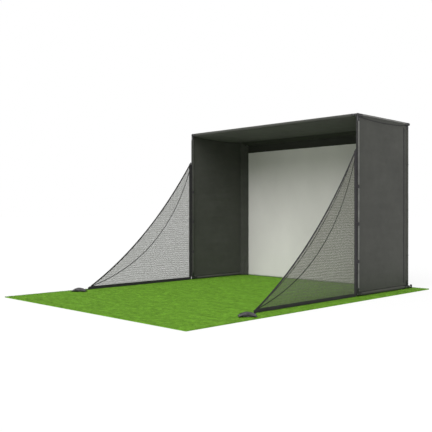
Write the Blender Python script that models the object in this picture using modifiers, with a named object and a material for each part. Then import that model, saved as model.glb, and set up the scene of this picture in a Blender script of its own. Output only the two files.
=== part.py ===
"""Golf practice enclosure, in metres, +Z up, with the front opening facing -Y.

A box frame of steel tubes and corner fittings carries a fabric roof, two fabric walls, an
impact screen and the sloped borders round it. Two triangular side nets swing on the front
uprights, and a sandbag holds the front corner of each. The frame stands on a turf mat, and
the origin is the centre of the mat's underside.
"""

import math

import bmesh
import bpy
from mathutils import Matrix, Vector

# Turf mat
TURF_WIDTH = 4.0
TURF_LENGTH = 5.44
TURF_THICKNESS = 0.015

# Frame, measured between tube axes
FRAME_WIDTH = 3.61
FRAME_DEPTH = 1.475
OVERALL_HEIGHT = 2.743
BAY_X = -0.08
FRONT_Y = 1.01
TUBE_RADIUS = 0.021
TUBE_WALL = 0.0015
ROUND_SIDES = 16

# Corner fittings
ARM_RADIUS = 0.024
ARM_LENGTH = 0.095
ARM_ROOT = 0.0037
ARM_ROLL = math.radians(4)
SOCKET_RADIUS = 0.0216
HUB_RADIUS = 0.0262
HUB_DEPTH = 0.0285
TUBE_SETBACK = 0.03
STUB_LENGTH = 0.055
FOOT_TUBE_RADIUS = 0.0125
FOOT_SOCKET_RADIUS = 0.0131
FOOT_REACH = 0.14
FOOT_CAP_SIZE = (0.026, 0.034, 0.055)
FOOT_CAP_GRIP = 0.016

# Fabric cover
SLEEVE_RADIUS = 0.0255
SLEEVE_BORE = 0.0225
SLEEVE_SETBACK = 0.0965
CLOTH = 0.0022
HEM_THICKNESS = 0.005
HEM_WIDTH = 0.04
SEAM_REACH = 0.0245
LOOP_BORE = 0.0215
LOOP_RADIUS = 0.024
WALL_START = 0.0275
WALL_LOOP_HEIGHTS = (0.22, 0.78, 1.34, 1.90, 2.46)
WALL_LOOP_LENGTH = 0.05

# Screen and the borders round it
SCREEN_SETBACK = 0.040
SCREEN_MARGIN = 0.045
BORDER_DEPTH = 0.15
BORDER_INSET = 0.125
BORDER_DROP = 0.1
BORDER_THICKNESS = 0.0025
BORDER_NOTCH = (0.0295, 0.056)
HEADER_HEIGHT = 0.131
HEADER_THICKNESS = 0.003

# Elastic ties that hold the screen's sides to the rear uprights
TIE_HEIGHTS = (0.55, 1.30, 2.05)
TIE_RADIUS = 0.0025
TIE_WRAP = 0.0302
TIE_HOLE_INSET = 0.072
TIE_HOLE_RADIUS = 0.006
TIE_BALL_RADIUS = 0.011
TIE_SLOT = (0.0255, 0.037)
TIE_SLOT_HEIGHT = 0.012

# Side nets: the free edge curves from the apex on the upright down to the front corner,
# drawn towards a point given as a share of the length and a height above the turf
NET_LENGTH = 2.338
NET_APEX = 2.285
NET_TIP_HEIGHT = 0.03
NET_EDGE_PULL = (0.45, 0.755)
NET_THICKNESS = 0.003
NET_EDGE_STEPS = 26
BINDING_WIDTH = 0.025
BINDING_THICKNESS = 0.006
UPRIGHT_HEM = (0.034, 0.094)
UPRIGHT_HEM_THICKNESS = 0.006
BOTTOM_HEM_START = 0.045
BOTTOM_HEM_HEIGHT = 0.05
BOTTOM_HEM_THICKNESS = 0.008
NET_TIE_HEIGHTS = (0.50, 1.06, 1.62)
NET_TIE_LENGTH = 0.045
STRAP_SIZE = (0.27, 0.04, 0.0025)
STRAP_SETBACK = 0.004

# Sandbags
SANDBAG_OFFSET = (0.12, -0.25)
SANDBAG_SIZE = (0.235, 0.165, 0.048)
SANDBAG_TURN = math.radians(45)

# Touching pieces keep this gap
GAP = 0.0003

FLOOR = TURF_THICKNESS + GAP
BOTTOM_Z = FLOOR + HUB_RADIUS
TOP_Z = TURF_THICKNESS + OVERALL_HEIGHT - SLEEVE_RADIUS
REAR_Y = FRONT_Y + FRAME_DEPTH
HALF_WIDTH = FRAME_WIDTH / 2
ROOF_TOP = TOP_Z - SEAM_REACH
ROOF_UNDER = ROOF_TOP - CLOTH
SCREEN_Y = REAR_Y - SCREEN_SETBACK
SIDES = {"left": -1, "right": 1}

X_AXIS = Vector((1, 0, 0))
Y_AXIS = Vector((0, 1, 0))
Z_AXIS = Vector((0, 0, 1))

MATERIALS = {
    "black_steel": ((0.022, 0.022, 0.024), 0.42, 0.0),
    "bare_steel": ((0.55, 0.55, 0.57), 0.35, 1.0),
    "black_plastic": ((0.018, 0.018, 0.019), 0.5, 0.0),
    "charcoal_cloth": ((0.062, 0.063, 0.055), 0.85, 0.0),
    "border_cloth": ((0.03, 0.031, 0.027), 0.85, 0.0),
    "screen_cloth": ((0.62, 0.63, 0.60), 0.8, 0.0),
    "net_mesh": ((0.02, 0.02, 0.02), 0.8, 0.0),
    "black_webbing": ((0.028, 0.026, 0.032), 0.8, 0.0),
    "sandbag_cloth": ((0.07, 0.062, 0.075), 0.8, 0.0),
    "elastic_cord": ((0.02, 0.02, 0.02), 0.7, 0.0),
    "turf_pile": ((0.14, 0.34, 0.05), 0.95, 0.0),
}


def clear_scene():
    for old in list(bpy.data.objects):
        bpy.data.objects.remove(old, do_unlink=True)


def make_materials():
    for name, (colour, roughness, metallic) in MATERIALS.items():
        material = bpy.data.materials.new(name)
        material.use_nodes = True
        shader = material.node_tree.nodes["Principled BSDF"]
        shader.inputs["Base Color"].default_value = (*colour, 1)
        shader.inputs["Roughness"].default_value = roughness
        shader.inputs["Metallic"].default_value = metallic


def make_collection():
    collection = bpy.data.collections.new("golf_practice_enclosure")
    bpy.context.scene.collection.children.link(collection)
    return collection


def add_object(name, data, material=None):
    """Link a mesh or a curve to the enclosure's collection as one named piece."""
    piece = bpy.data.objects.new(name, data)
    bpy.data.collections["golf_practice_enclosure"].objects.link(piece)
    if material:
        data.materials.append(bpy.data.materials[material])
    return piece


def mesh_from(build):
    """A new mesh holding what build(bm) makes."""
    bm = bmesh.new()
    build(bm)
    mesh = bpy.data.meshes.new("shape")
    bm.to_mesh(mesh)
    bm.free()
    return mesh


def box(low, high):
    low = Vector(low)
    high = Vector(high)
    size = high - low
    place = Matrix.Translation((low + high) / 2) @ Matrix.Diagonal((*size, 1))
    return mesh_from(lambda bm: bmesh.ops.create_cube(bm, size=1, matrix=place))


def along(start, end, roll=0):
    """The matrix that lays a shape's local Z from start to end, centred between them."""
    start = Vector(start)
    end = Vector(end)
    turn = (end - start).to_track_quat("Z", "Y").to_matrix().to_4x4()
    return Matrix.Translation((start + end) / 2) @ turn @ Matrix.Rotation(roll, 4, "Z")


def cylinder(start, end, radius, caps=True, roll=0):
    """A round bar, or an open round wall, from start to end, rolled about its own axis."""
    length = (Vector(end) - Vector(start)).length
    place = along(start, end, roll)

    def build(bm):
        bmesh.ops.create_cone(
            bm,
            cap_ends=caps,
            segments=ROUND_SIDES,
            radius1=radius,
            radius2=radius,
            depth=length,
            matrix=place,
        )

    return mesh_from(build)


def ball(centre, radius, rings=7):
    place = Matrix.Translation(centre)

    def build(bm):
        bmesh.ops.create_uvsphere(
            bm, u_segments=2 * rings, v_segments=rings, radius=radius, matrix=place
        )

    return mesh_from(build)


def evaluated_mesh(piece):
    bpy.context.view_layer.update()
    graph = bpy.context.evaluated_depsgraph_get()
    return bpy.data.meshes.new_from_object(piece.evaluated_get(graph))


def combine(piece, tool_mesh, operation):
    """Join tool_mesh to the piece, or cut it away, and keep the result as the piece's mesh."""
    tool = bpy.data.objects.new("tool", tool_mesh)
    bpy.context.scene.collection.objects.link(tool)
    modifier = piece.modifiers.new("combine", "BOOLEAN")
    modifier.operation = operation
    modifier.solver = "EXACT"
    modifier.object = tool
    mesh = evaluated_mesh(piece)
    piece.modifiers.remove(modifier)
    bpy.data.objects.remove(tool, do_unlink=True)
    piece.data = mesh


def build_up(name, material, shapes, cuts):
    """One solid piece: the first shape joined with the others, then the cuts taken away."""
    piece = add_object(name, shapes[0], material)
    for shape in shapes[1:]:
        combine(piece, shape, "UNION")
    for cut in cuts:
        combine(piece, cut, "DIFFERENCE")
    return piece


def smooth(piece):
    piece.data.shade_smooth()
    piece.data.set_sharp_from_angle(angle=math.radians(40))


def hollow_tube(name, start, end, radius, material):
    """A round tube, open at both ends."""
    tube = add_object(name, cylinder(start, end, radius, caps=False), material)
    wall = tube.modifiers.new("wall", "SOLIDIFY")
    wall.thickness = TUBE_WALL
    wall.offset = -1
    smooth(tube)
    return tube


def corner(side, y, z):
    return Vector((BAY_X + SIDES[side] * HALF_WIDTH, y, z))


def make_tube_between(name, start, end):
    """A frame tube between two corner centres, stopping short of each hub."""
    step = (end - start).normalized() * TUBE_SETBACK
    hollow_tube(name, start + step, end - step, TUBE_RADIUS, "black_steel")


def make_frame_tubes():
    depths = {"front": FRONT_Y, "rear": REAR_Y}
    for end, y in depths.items():
        for side in SIDES:
            foot = corner(side, y, BOTTOM_Z)
            make_tube_between(f"{end}_{side}_upright", foot, corner(side, y, TOP_Z))
        left = corner("left", y, TOP_Z)
        make_tube_between(f"{end}_top_tube", left, corner("right", y, TOP_Z))
    for side in SIDES:
        for level, z in (("top", TOP_Z), ("bottom", BOTTOM_Z)):
            front = corner(side, FRONT_Y, z)
            make_tube_between(f"{side}_{level}_tube", front, corner(side, REAR_Y, z))
    left = corner("left", REAR_Y, BOTTOM_Z)
    make_tube_between("rear_bottom_tube", left, corner("right", REAR_Y, BOTTOM_Z))


def make_fitting(name, centre, arms, stubs=()):
    """A corner fitting: a ball hub with one socket along each arm's direction.

    stubs are shorter sockets, each a direction and its bore's radius.
    """
    sockets = [(direction, ARM_LENGTH, SOCKET_RADIUS) for direction in arms]
    sockets += [(direction, STUB_LENGTH, bore) for direction, bore in stubs]
    shapes = [ball(centre, HUB_RADIUS)]
    cuts = []
    for number, (direction, length, bore) in enumerate(sockets):
        root = centre + direction * ARM_ROOT
        end = centre + direction * length
        mouth = end + direction * ARM_RADIUS
        roll = number * ARM_ROLL
        shapes.append(cylinder(root, end, ARM_RADIUS, roll=roll))
        cuts.append(cylinder(centre + direction * HUB_DEPTH, mouth, bore, roll=roll))
    smooth(build_up(name, "black_steel", shapes, cuts))


def make_fittings():
    for side, sign in SIDES.items():
        inward = -sign * X_AXIS
        top_front = corner(side, FRONT_Y, TOP_Z)
        top_rear = corner(side, REAR_Y, TOP_Z)
        bottom_front = corner(side, FRONT_Y, BOTTOM_Z)
        bottom_rear = corner(side, REAR_Y, BOTTOM_Z)
        rear_socket = (Y_AXIS, SOCKET_RADIUS)
        foot_socket = (Y_AXIS, FOOT_SOCKET_RADIUS)
        make_fitting(f"{side}_top_front_fitting", top_front, (inward, Y_AXIS, -Z_AXIS))
        make_fitting(
            f"{side}_top_rear_fitting", top_rear, (inward, -Y_AXIS, -Z_AXIS), (rear_socket,)
        )
        make_fitting(f"{side}_bottom_front_fitting", bottom_front, (Y_AXIS, Z_AXIS))
        make_fitting(
            f"{side}_bottom_rear_fitting", bottom_rear, (inward, -Y_AXIS, Z_AXIS), (foot_socket,)
        )


def turned(name, profile, material, place):
    """A turned piece: the profile's (radius, height) points run down its outer side."""
    mesh = bpy.data.meshes.new(name)
    points = [(radius, 0, height) for radius, height in profile]
    edges = [(i, i + 1) for i in range(len(points) - 1)]
    mesh.from_pydata(points, edges, [])
    piece = add_object(name, mesh, material)
    piece.matrix_world = place
    screw = piece.modifiers.new("turn", "SCREW")
    screw.steps = ROUND_SIDES
    screw.render_steps = ROUND_SIDES
    screw.use_merge_vertices = True
    screw.merge_threshold = 0.0001
    screw.use_smooth_shade = True
    return piece


def make_rear_plugs():
    """Push-in plugs that close the rear sockets of the upper rear fittings."""
    stem = SOCKET_RADIUS - 0.0005
    head = ARM_RADIUS - 0.0004
    profile = (
        (0, 0.008),
        (0.6 * head, 0.0072),
        (0.9 * head, 0.005),
        (head, 0.0025),
        (head, GAP),
        (stem, GAP),
        (stem, -0.02),
        (0, -0.02),
    )
    for side in SIDES:
        mouth = corner(side, REAR_Y + STUB_LENGTH, TOP_Z)
        place = Matrix.Translation(mouth) @ Matrix.Rotation(math.radians(-90), 4, "X")
        turned(f"{side}_rear_plug", profile, "black_plastic", place)


def make_rear_feet():
    """A short steel tube behind each lower rear fitting, ending in an upright rubber foot."""
    width, depth, height = FOOT_CAP_SIZE
    for side in SIDES:
        start = corner(side, REAR_Y + TUBE_SETBACK, BOTTOM_Z)
        end = corner(side, REAR_Y + FOOT_REACH, BOTTOM_Z)
        hollow_tube(f"{side}_rear_foot_tube", start, end, FOOT_TUBE_RADIUS, "bare_steel")
        low = end + Vector((-width / 2, -FOOT_CAP_GRIP, FLOOR - BOTTOM_Z))
        high = low + Vector((width, depth, height))
        bore_end = end + Y_AXIS * 0.001
        bore = cylinder(end - Y_AXIS * depth, bore_end, FOOT_SOCKET_RADIUS)
        cap = add_object(f"{side}_rear_foot", box(low, high), "black_plastic")
        rounding = cap.modifiers.new("rounding", "BEVEL")
        rounding.width = 0.004
        rounding.segments = 2
        cap.data = evaluated_mesh(cap)
        cap.modifiers.clear()
        widen_grip(cap, start, end)
        combine(cap, bore, "DIFFERENCE")
        smooth(cap)


def widen_grip(cap, start, end):
    """Add the round collar that grips the foot tube, wider than the upright foot."""
    collar_start = end - Y_AXIS * (FOOT_CAP_GRIP + 0.006)
    collar = cylinder(collar_start, end + Y_AXIS * 0.006, FOOT_SOCKET_RADIUS + 0.003)
    combine(cap, collar, "UNION")


def make_roof_panel():
    """The roof sheet, which runs under the top tubes, and the sleeve round each of them."""
    low = corner("left", FRONT_Y, ROOF_UNDER)
    high = corner("right", REAR_Y, ROOF_TOP)
    shapes = [box(low, high)]
    cuts = []
    runs = []
    for y in (FRONT_Y, REAR_Y):
        runs.append((corner("left", y, TOP_Z), corner("right", y, TOP_Z)))
    for side in SIDES:
        runs.append((corner(side, FRONT_Y, TOP_Z), corner(side, REAR_Y, TOP_Z)))
    for start, end in runs:
        step = (end - start).normalized() * SLEEVE_SETBACK
        shapes.append(cylinder(start + step, end - step, SLEEVE_RADIUS))
        clear = step * 0.9
        cuts.append(cylinder(start + clear, end - clear, SLEEVE_BORE))
    for side in SIDES:
        for y in (FRONT_Y, REAR_Y):
            top = corner(side, y, TOP_Z)
            under = corner(side, y, ROOF_UNDER - CLOTH)
            cuts.append(cylinder(under, top, SLEEVE_RADIUS + 0.001))
    build_up("roof_panel", "charcoal_cloth", shapes, cuts)


def wall_slab(side, start_y, end_y, bottom, top, thickness):
    """A flat upright slab in the plane of one side's tubes."""
    half = X_AXIS * thickness / 2
    return box(corner(side, start_y, bottom) - half, corner(side, end_y, top) + half)


def make_side_panel(side):
    """A side wall: the sheet, its rear and bottom sleeves, its hems and its front loops."""
    front = FRONT_Y + WALL_START
    rear = REAR_Y - SEAM_REACH
    bottom = BOTTOM_Z + SEAM_REACH
    top = ROOF_UNDER - 2 * GAP
    hem_top = top - GAP
    rear_foot = corner(side, REAR_Y, BOTTOM_Z + SLEEVE_SETBACK)
    rear_head = corner(side, REAR_Y, TOP_Z - SLEEVE_SETBACK)
    rail_front = corner(side, FRONT_Y + SLEEVE_SETBACK, BOTTOM_Z)
    rail_rear = corner(side, REAR_Y - SLEEVE_SETBACK, BOTTOM_Z)
    shapes = [
        wall_slab(side, front, rear, bottom, top, CLOTH),
        wall_slab(side, front - GAP, front + HEM_WIDTH, bottom + GAP, hem_top, HEM_THICKNESS),
        wall_slab(side, front + GAP, rear - GAP, top - HEM_WIDTH, top - 2 * GAP, HEM_THICKNESS),
        cylinder(rear_foot, rear_head, SLEEVE_RADIUS),
        cylinder(rail_front, rail_rear, SLEEVE_RADIUS),
    ]
    cuts = [
        cylinder(rear_foot - Z_AXIS * 0.01, rear_head + Z_AXIS * 0.01, SLEEVE_BORE),
        cylinder(rail_front - Y_AXIS * 0.01, rail_rear + Y_AXIS * 0.01, SLEEVE_BORE),
    ]
    for height in WALL_LOOP_HEIGHTS:
        low = TURF_THICKNESS + height
        high = low + WALL_LOOP_LENGTH
        loop = cylinder(corner(side, FRONT_Y, low), corner(side, FRONT_Y, high), LOOP_RADIUS)
        bridge_end = front + 0.004
        bridge_start = FRONT_Y + LOOP_BORE + GAP
        bridge = wall_slab(side, bridge_start, bridge_end, low + 0.002, high - 0.002, CLOTH + GAP)
        shapes += [loop, bridge]
    loops_low = corner(side, FRONT_Y, BOTTOM_Z + ARM_LENGTH)
    loops_high = corner(side, FRONT_Y, TOP_Z - ARM_LENGTH)
    cuts.append(cylinder(loops_low, loops_high, LOOP_BORE))
    for height in TIE_HEIGHTS:
        middle = TURF_THICKNESS + height
        low = middle - TIE_SLOT_HEIGHT / 2
        high = middle + TIE_SLOT_HEIGHT / 2
        near, far = TIE_SLOT
        cuts.append(wall_slab(side, REAR_Y - far, REAR_Y - near, low, high, 4 * CLOTH))
    smooth(build_up(f"{side}_side_panel", "charcoal_cloth", shapes, cuts))


def sheet_from_corners(name, corners, thickness, material):
    """A flat sheet with this outline, thickened evenly to both sides."""
    mesh = bpy.data.meshes.new(name)
    mesh.from_pydata([tuple(point) for point in corners], [], [range(len(corners))])
    sheet = add_object(name, mesh, material)
    solid = sheet.modifiers.new("thickness", "SOLIDIFY")
    solid.thickness = thickness
    solid.offset = 0
    return sheet


def make_borders():
    """Strips that slope from the walls and the roof in to the screen, mitred at the corners.

    Each side strip is notched at its foot for the bottom tube.
    """
    outer = HALF_WIDTH - 0.004
    inner = HALF_WIDTH - BORDER_INSET
    front = REAR_Y - BORDER_DEPTH
    rear = SCREEN_Y - 0.008
    outer_z = ROOF_UNDER - 0.004
    inner_z = ROOF_UNDER - BORDER_DROP + 0.012
    mitre = 0.003
    for side, sign in SIDES.items():
        front_x = BAY_X + sign * outer
        rear_x = BAY_X + sign * inner
        notch_share = (BORDER_NOTCH[0] - (HALF_WIDTH - outer)) / (outer - inner)
        notch_x = front_x + (rear_x - front_x) * notch_share
        notch_y = front + (rear - front) * notch_share
        notch_z = FLOOR + BORDER_NOTCH[1]
        corners = (
            (front_x, front, notch_z),
            (notch_x, notch_y, notch_z),
            (notch_x, notch_y, FLOOR),
            (rear_x, rear, FLOOR),
            (rear_x, rear, inner_z - mitre),
            (front_x, front, outer_z - mitre),
        )
        sheet_from_corners(f"{side}_border", corners, BORDER_THICKNESS, "border_cloth")
    corners = (
        (BAY_X - outer + mitre, front, outer_z),
        (BAY_X + outer - mitre, front, outer_z),
        (BAY_X + inner - mitre, rear, inner_z),
        (BAY_X - inner + mitre, rear, inner_z),
    )
    sheet_from_corners("top_border", corners, BORDER_THICKNESS, "border_cloth")
    header_top = inner_z - 0.006
    header_rear = SCREEN_Y - CLOTH / 2 - 2 * GAP
    low = Vector((BAY_X - inner, header_rear - HEADER_THICKNESS, header_top - HEADER_HEIGHT))
    high = Vector((BAY_X + inner, header_rear, header_top))
    add_object("screen_header", box(low, high), "border_cloth")


def make_screen():
    """The impact screen, with a hole for each elastic tie."""
    half = Y_AXIS * CLOTH / 2
    margin = X_AXIS * SCREEN_MARGIN
    low = corner("left", SCREEN_Y, FLOOR + 0.002) + margin - half
    high = corner("right", SCREEN_Y, ROOF_UNDER - 0.003) - margin + half
    holes = []
    for side, sign in SIDES.items():
        for height in TIE_HEIGHTS:
            hole = corner(side, SCREEN_Y, TURF_THICKNESS + height)
            hole.x -= sign * TIE_HOLE_INSET
            reach = Y_AXIS * 4 * CLOTH
            holes.append(cylinder(hole - reach, hole + reach, TIE_HOLE_RADIUS))
    build_up("impact_screen", "screen_cloth", [box(low, high)], holes)


def tie_route():
    """A tie's closed route in plan, from the upright's axis, for an upright on the right.

    It runs round the upright, back behind the screen, through the hole and out in front.
    """
    wrap_steps = 8
    first, last = math.radians(180), math.radians(-95)
    points = []
    for i in range(wrap_steps + 1):
        angle = first + (last - first) * i / wrap_steps
        points.append((TIE_WRAP * math.cos(angle), TIE_WRAP * math.sin(angle)))
    points += [(-0.045, -0.0452), (-0.064, -0.0468)]
    bend_steps = 3
    bend_x, bend_y, bend_radius = -0.067, -SCREEN_SETBACK, 0.0066
    for i in range(bend_steps + 1):
        angle = math.radians(-100 - 160 * i / bend_steps)
        x = bend_x + bend_radius * math.cos(angle)
        points.append((x, bend_y + bend_radius * math.sin(angle)))
    points += [(-0.045, -0.0262)]
    return points


def make_screen_ties():
    """Elastic loops, each with a ball, through the screen's holes and round the rear uprights."""
    for side, sign in SIDES.items():
        for number, height in enumerate(TIE_HEIGHTS, 1):
            centre = corner(side, REAR_Y, TURF_THICKNESS + height)
            points = [centre + Vector((sign * x, y, 0)) for x, y in tie_route()]
            name = f"{side}_screen_tie_{number}"
            curve = bpy.data.curves.new(name, "CURVE")
            curve.dimensions = "3D"
            curve.bevel_depth = TIE_RADIUS
            curve.bevel_resolution = 0
            spline = curve.splines.new("POLY")
            spline.points.add(len(points) - 1)
            for place, point in zip(spline.points, points):
                place.co = (*point, 1)
            spline.use_cyclic_u = True
            cord = add_object(name, curve)
            mesh = evaluated_mesh(cord)
            bpy.data.objects.remove(cord, do_unlink=True)
            tie = add_object(name, mesh, "elastic_cord")
            combine(tie, ball(points[-1], TIE_BALL_RADIUS, rings=5), "UNION")
            smooth(tie)


def net_edge():
    """The net's free edge in its own plane: points (distance from the hinge, height)."""
    apex = Vector((0, NET_APEX))
    pull = Vector((NET_LENGTH * NET_EDGE_PULL[0], NET_EDGE_PULL[1]))
    tip = Vector((NET_LENGTH, NET_TIP_HEIGHT))
    points = []
    for i in range(NET_EDGE_STEPS + 1):
        share = i / NET_EDGE_STEPS
        place = apex.lerp(pull, share).lerp(pull.lerp(tip, share), share)
        points.append((place.x, TURF_THICKNESS + place.y))
    return points


def inset(points, distance):
    """The line of points moved inwards, square to its own direction."""
    moved = []
    for i, (x, y) in enumerate(points):
        before = Vector(points[max(i - 1, 0)])
        after = Vector(points[min(i + 1, len(points) - 1)])
        run = (after - before).normalized()
        moved.append((x + run.y * distance, y - run.x * distance))
    return moved


def clip(points, axis, limit):
    """The stretch of a line whose coordinate on axis is at least limit."""
    kept = []
    for i, point in enumerate(points):
        if i:
            last = points[i - 1]
            if (last[axis] < limit) != (point[axis] < limit):
                share = (limit - last[axis]) / (point[axis] - last[axis])
                cut = [a + (b - a) * share for a, b in zip(last, point)]
                kept.append(tuple(cut))
        if point[axis] >= limit:
            kept.append(point)
    return kept


def flat_outline(name, outline, thickness, material, hinge):
    """A flat piece in the net's plane, riding on the hinge."""
    curve = bpy.data.curves.new(name, "CURVE")
    curve.dimensions = "2D"
    curve.fill_mode = "BOTH"
    curve.extrude = thickness / 2
    spline = curve.splines.new("POLY")
    spline.points.add(len(outline) - 1)
    for place, (x, y) in zip(spline.points, outline):
        place.co = (x, y, 0, 1)
    spline.use_cyclic_u = True
    piece = add_object(name, curve, material)
    piece.parent = hinge
    forward_is_x = Matrix(((0, 0, -1, 0), (-1, 0, 0, 0), (0, 1, 0, 0), (0, 0, 0, 1)))
    piece.matrix_local = forward_is_x
    return piece


def make_net(side):
    """A side net on its hinge: mesh, edge binding, hems, ties and the corner strap."""
    hinge = bpy.data.objects.new(f"{side}_net_hinge", None)
    bpy.data.collections["golf_practice_enclosure"].objects.link(hinge)
    hinge.location = corner(side, FRONT_Y, 0)
    bpy.context.view_layer.update()

    edge = net_edge()
    hem_top = FLOOR + BOTTOM_HEM_HEIGHT
    hem_near, hem_far = UPRIGHT_HEM
    above_hem = hem_top + GAP
    outer = clip(clip(edge, 0, hem_near), 1, above_hem)
    inner = clip(clip(inset(edge, BINDING_WIDTH), 0, hem_near), 1, above_hem)
    binding = outer + inner[::-1]
    flat_outline(f"{side}_net_edge_binding", binding, BINDING_THICKNESS, "black_webbing", hinge)

    body_edge = clip(inset(edge, BINDING_WIDTH + GAP), 1, above_hem)
    body = clip(body_edge, 0, hem_far + GAP)
    body = body + [(hem_far + GAP, above_hem)]
    flat_outline(f"{side}_net_mesh", body, NET_THICKNESS, "net_mesh", hinge)

    hem = clip(body_edge, 0, hem_near)
    hem = [point for point in hem if point[0] < hem_far]
    hem_head = clip(body_edge, 0, hem_far)[0]
    hem = hem + [hem_head, (hem_far, above_hem), (hem_near, above_hem)]
    flat_outline(f"{side}_net_upright_hem", hem, UPRIGHT_HEM_THICKNESS, "black_webbing", hinge)

    tip = [point for point in edge if point[1] < hem_top]
    tip_head = clip(edge, 1, hem_top)[-1]
    base = [(BOTTOM_HEM_START, FLOOR), (BOTTOM_HEM_START, hem_top), tip_head]
    base += tip + [(NET_LENGTH, FLOOR)]
    flat_outline(f"{side}_net_bottom_hem", base, BOTTOM_HEM_THICKNESS, "black_webbing", hinge)

    for number, height in enumerate(NET_TIE_HEIGHTS, 1):
        make_net_tie(f"{side}_net_tie_{number}", side, TURF_THICKNESS + height, hinge)
    make_corner_strap(side, hinge)


def keep_place(piece, hinge):
    """Parent the piece to the hinge without moving it."""
    piece.parent = hinge
    piece.matrix_parent_inverse = hinge.matrix_world.inverted()


def make_net_tie(name, side, low, hinge):
    """A loop round the front upright, joined to the net's upright hem."""
    high = low + NET_TIE_LENGTH
    ring = cylinder(corner(side, FRONT_Y, low), corner(side, FRONT_Y, high), LOOP_RADIUS)
    tab_start = FRONT_Y - UPRIGHT_HEM[0] + GAP
    tab_end = FRONT_Y - LOOP_BORE - GAP
    tab = wall_slab(side, tab_start, tab_end, low + 0.002, high - 0.002, NET_THICKNESS)
    bore_reach = Z_AXIS * 0.01
    bore_start = corner(side, FRONT_Y, low) - bore_reach
    bore = cylinder(bore_start, corner(side, FRONT_Y, high) + bore_reach, LOOP_BORE)
    tie = build_up(name, "black_webbing", [ring, tab], [bore])
    smooth(tie)
    keep_place(tie, hinge)


def make_corner_strap(side, hinge):
    """A flat strap on the turf from the net's front corner to under the sandbag."""
    length, width, thickness = STRAP_SIZE
    tip = corner(side, FRONT_Y - NET_LENGTH, FLOOR)
    direction = Vector((*SANDBAG_OFFSET, 0)).normalized()
    turn = math.atan2(direction.y, direction.x)
    strap = box((0, -width / 2, 0), (length, width / 2, thickness))
    strap.transform(Matrix.Rotation(turn, 4, "Z"))
    strap.transform(Matrix.Translation(tip + direction * STRAP_SETBACK))
    piece = add_object(f"{side}_net_corner_strap", strap, "black_webbing")
    keep_place(piece, hinge)


def make_sandbag(side):
    """A filled bag, flat underneath, from a coarse cage."""
    length, width, height = SANDBAG_SIZE

    def build(bm):
        bmesh.ops.create_cube(bm, size=1)
        bmesh.ops.subdivide_edges(bm, edges=bm.edges[:], cuts=2, use_grid_fill=True)
        for vertex in bm.verts:
            across = max(abs(vertex.co.x), abs(vertex.co.y)) * 2
            crown = 1 - 0.45 * across**2 if vertex.co.z > 0 else 1
            vertex.co.z = (vertex.co.z + 0.5) * crown * height * 1.12
            vertex.co.x *= length * 1.03
            vertex.co.y *= width * 1.03

    bag = add_object(f"{side}_sandbag", mesh_from(build), "sandbag_cloth")
    tip = corner(side, FRONT_Y - NET_LENGTH, FLOOR + STRAP_SIZE[2] + 2 * GAP)
    bag.location = tip + Vector((*SANDBAG_OFFSET, 0))
    bag.rotation_euler = (0, 0, SANDBAG_TURN)
    rounding = bag.modifiers.new("rounding", "SUBSURF")
    rounding.levels = 1
    rounding.render_levels = 1
    bag.data.shade_smooth()


def make_turf():
    low = (-TURF_WIDTH / 2, -TURF_LENGTH / 2, 0)
    high = (TURF_WIDTH / 2, TURF_LENGTH / 2, TURF_THICKNESS)
    add_object("turf_mat", box(low, high), "turf_pile")


def main():
    clear_scene()
    make_materials()
    make_collection()
    make_frame_tubes()
    make_fittings()
    make_rear_plugs()
    make_rear_feet()
    make_roof_panel()
    make_borders()
    make_screen()
    make_screen_ties()
    for side in SIDES:
        make_side_panel(side)
        make_net(side)
        make_sandbag(side)
    make_turf()


main()
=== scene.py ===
"""Looks of the golf practice enclosure: cloth, netting, webbing, steel, sandbags and turf.

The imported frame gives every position. Each operator makes one group of pieces and says which
body they ride on and which plain solids they stand for.
"""

import math

import bmesh
import bpy
import numpy as np
from mathutils import Matrix, Vector, noise


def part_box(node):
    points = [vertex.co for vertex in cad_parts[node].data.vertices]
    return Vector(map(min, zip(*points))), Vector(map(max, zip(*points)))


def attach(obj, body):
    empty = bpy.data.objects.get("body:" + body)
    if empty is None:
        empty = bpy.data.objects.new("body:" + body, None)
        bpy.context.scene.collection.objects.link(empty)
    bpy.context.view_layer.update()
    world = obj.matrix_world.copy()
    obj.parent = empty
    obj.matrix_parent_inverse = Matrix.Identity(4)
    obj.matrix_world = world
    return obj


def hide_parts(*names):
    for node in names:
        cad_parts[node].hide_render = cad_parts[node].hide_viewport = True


bl_info = {
    "name": "Golf Practice Enclosure",
    "version": (1, 0, 0),
    "blender": (4, 5, 0),
    "location": "3D View > Sidebar > Golf Bay",
    "description": "Builds a tube-framed golf enclosure with side nets, a screen and turf",
    "category": "Object",
}

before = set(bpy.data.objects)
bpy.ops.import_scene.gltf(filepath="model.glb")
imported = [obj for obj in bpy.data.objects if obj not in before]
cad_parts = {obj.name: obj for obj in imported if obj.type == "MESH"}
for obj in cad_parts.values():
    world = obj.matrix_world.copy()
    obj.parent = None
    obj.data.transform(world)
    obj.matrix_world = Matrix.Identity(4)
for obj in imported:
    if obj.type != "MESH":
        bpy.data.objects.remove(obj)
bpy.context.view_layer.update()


def middle(node):
    low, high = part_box(node)
    return (Vector(low) + Vector(high)) / 2


def top_of(node):
    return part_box(node)[1][2]


SIDES = {"left": -1, "right": 1}
FRONT_Y = middle("front_left_upright").y
REAR_Y = middle("rear_left_upright").y
POST_X = {side: middle(f"front_{side}_upright").x for side in SIDES}
BAY_X = sum(POST_X.values()) / 2
HALF_WIDTH = (POST_X["right"] - POST_X["left"]) / 2
TOP_Z = middle("front_top_tube").z
BOTTOM_Z = middle("left_bottom_tube").z
TURF_TOP = top_of("turf_mat")
SCREEN_Y = middle("impact_screen").y

# Corner fittings: a ball with an arm for each tube, bored as a socket
HUB_RADIUS = 0.0262
ARM_RADIUS = 0.024
ARM_LENGTH = 0.095
STUB_LENGTH = 0.055
SOCKET_RADIUS = 0.0216
FOOT_SOCKET_RADIUS = 0.0131

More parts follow.
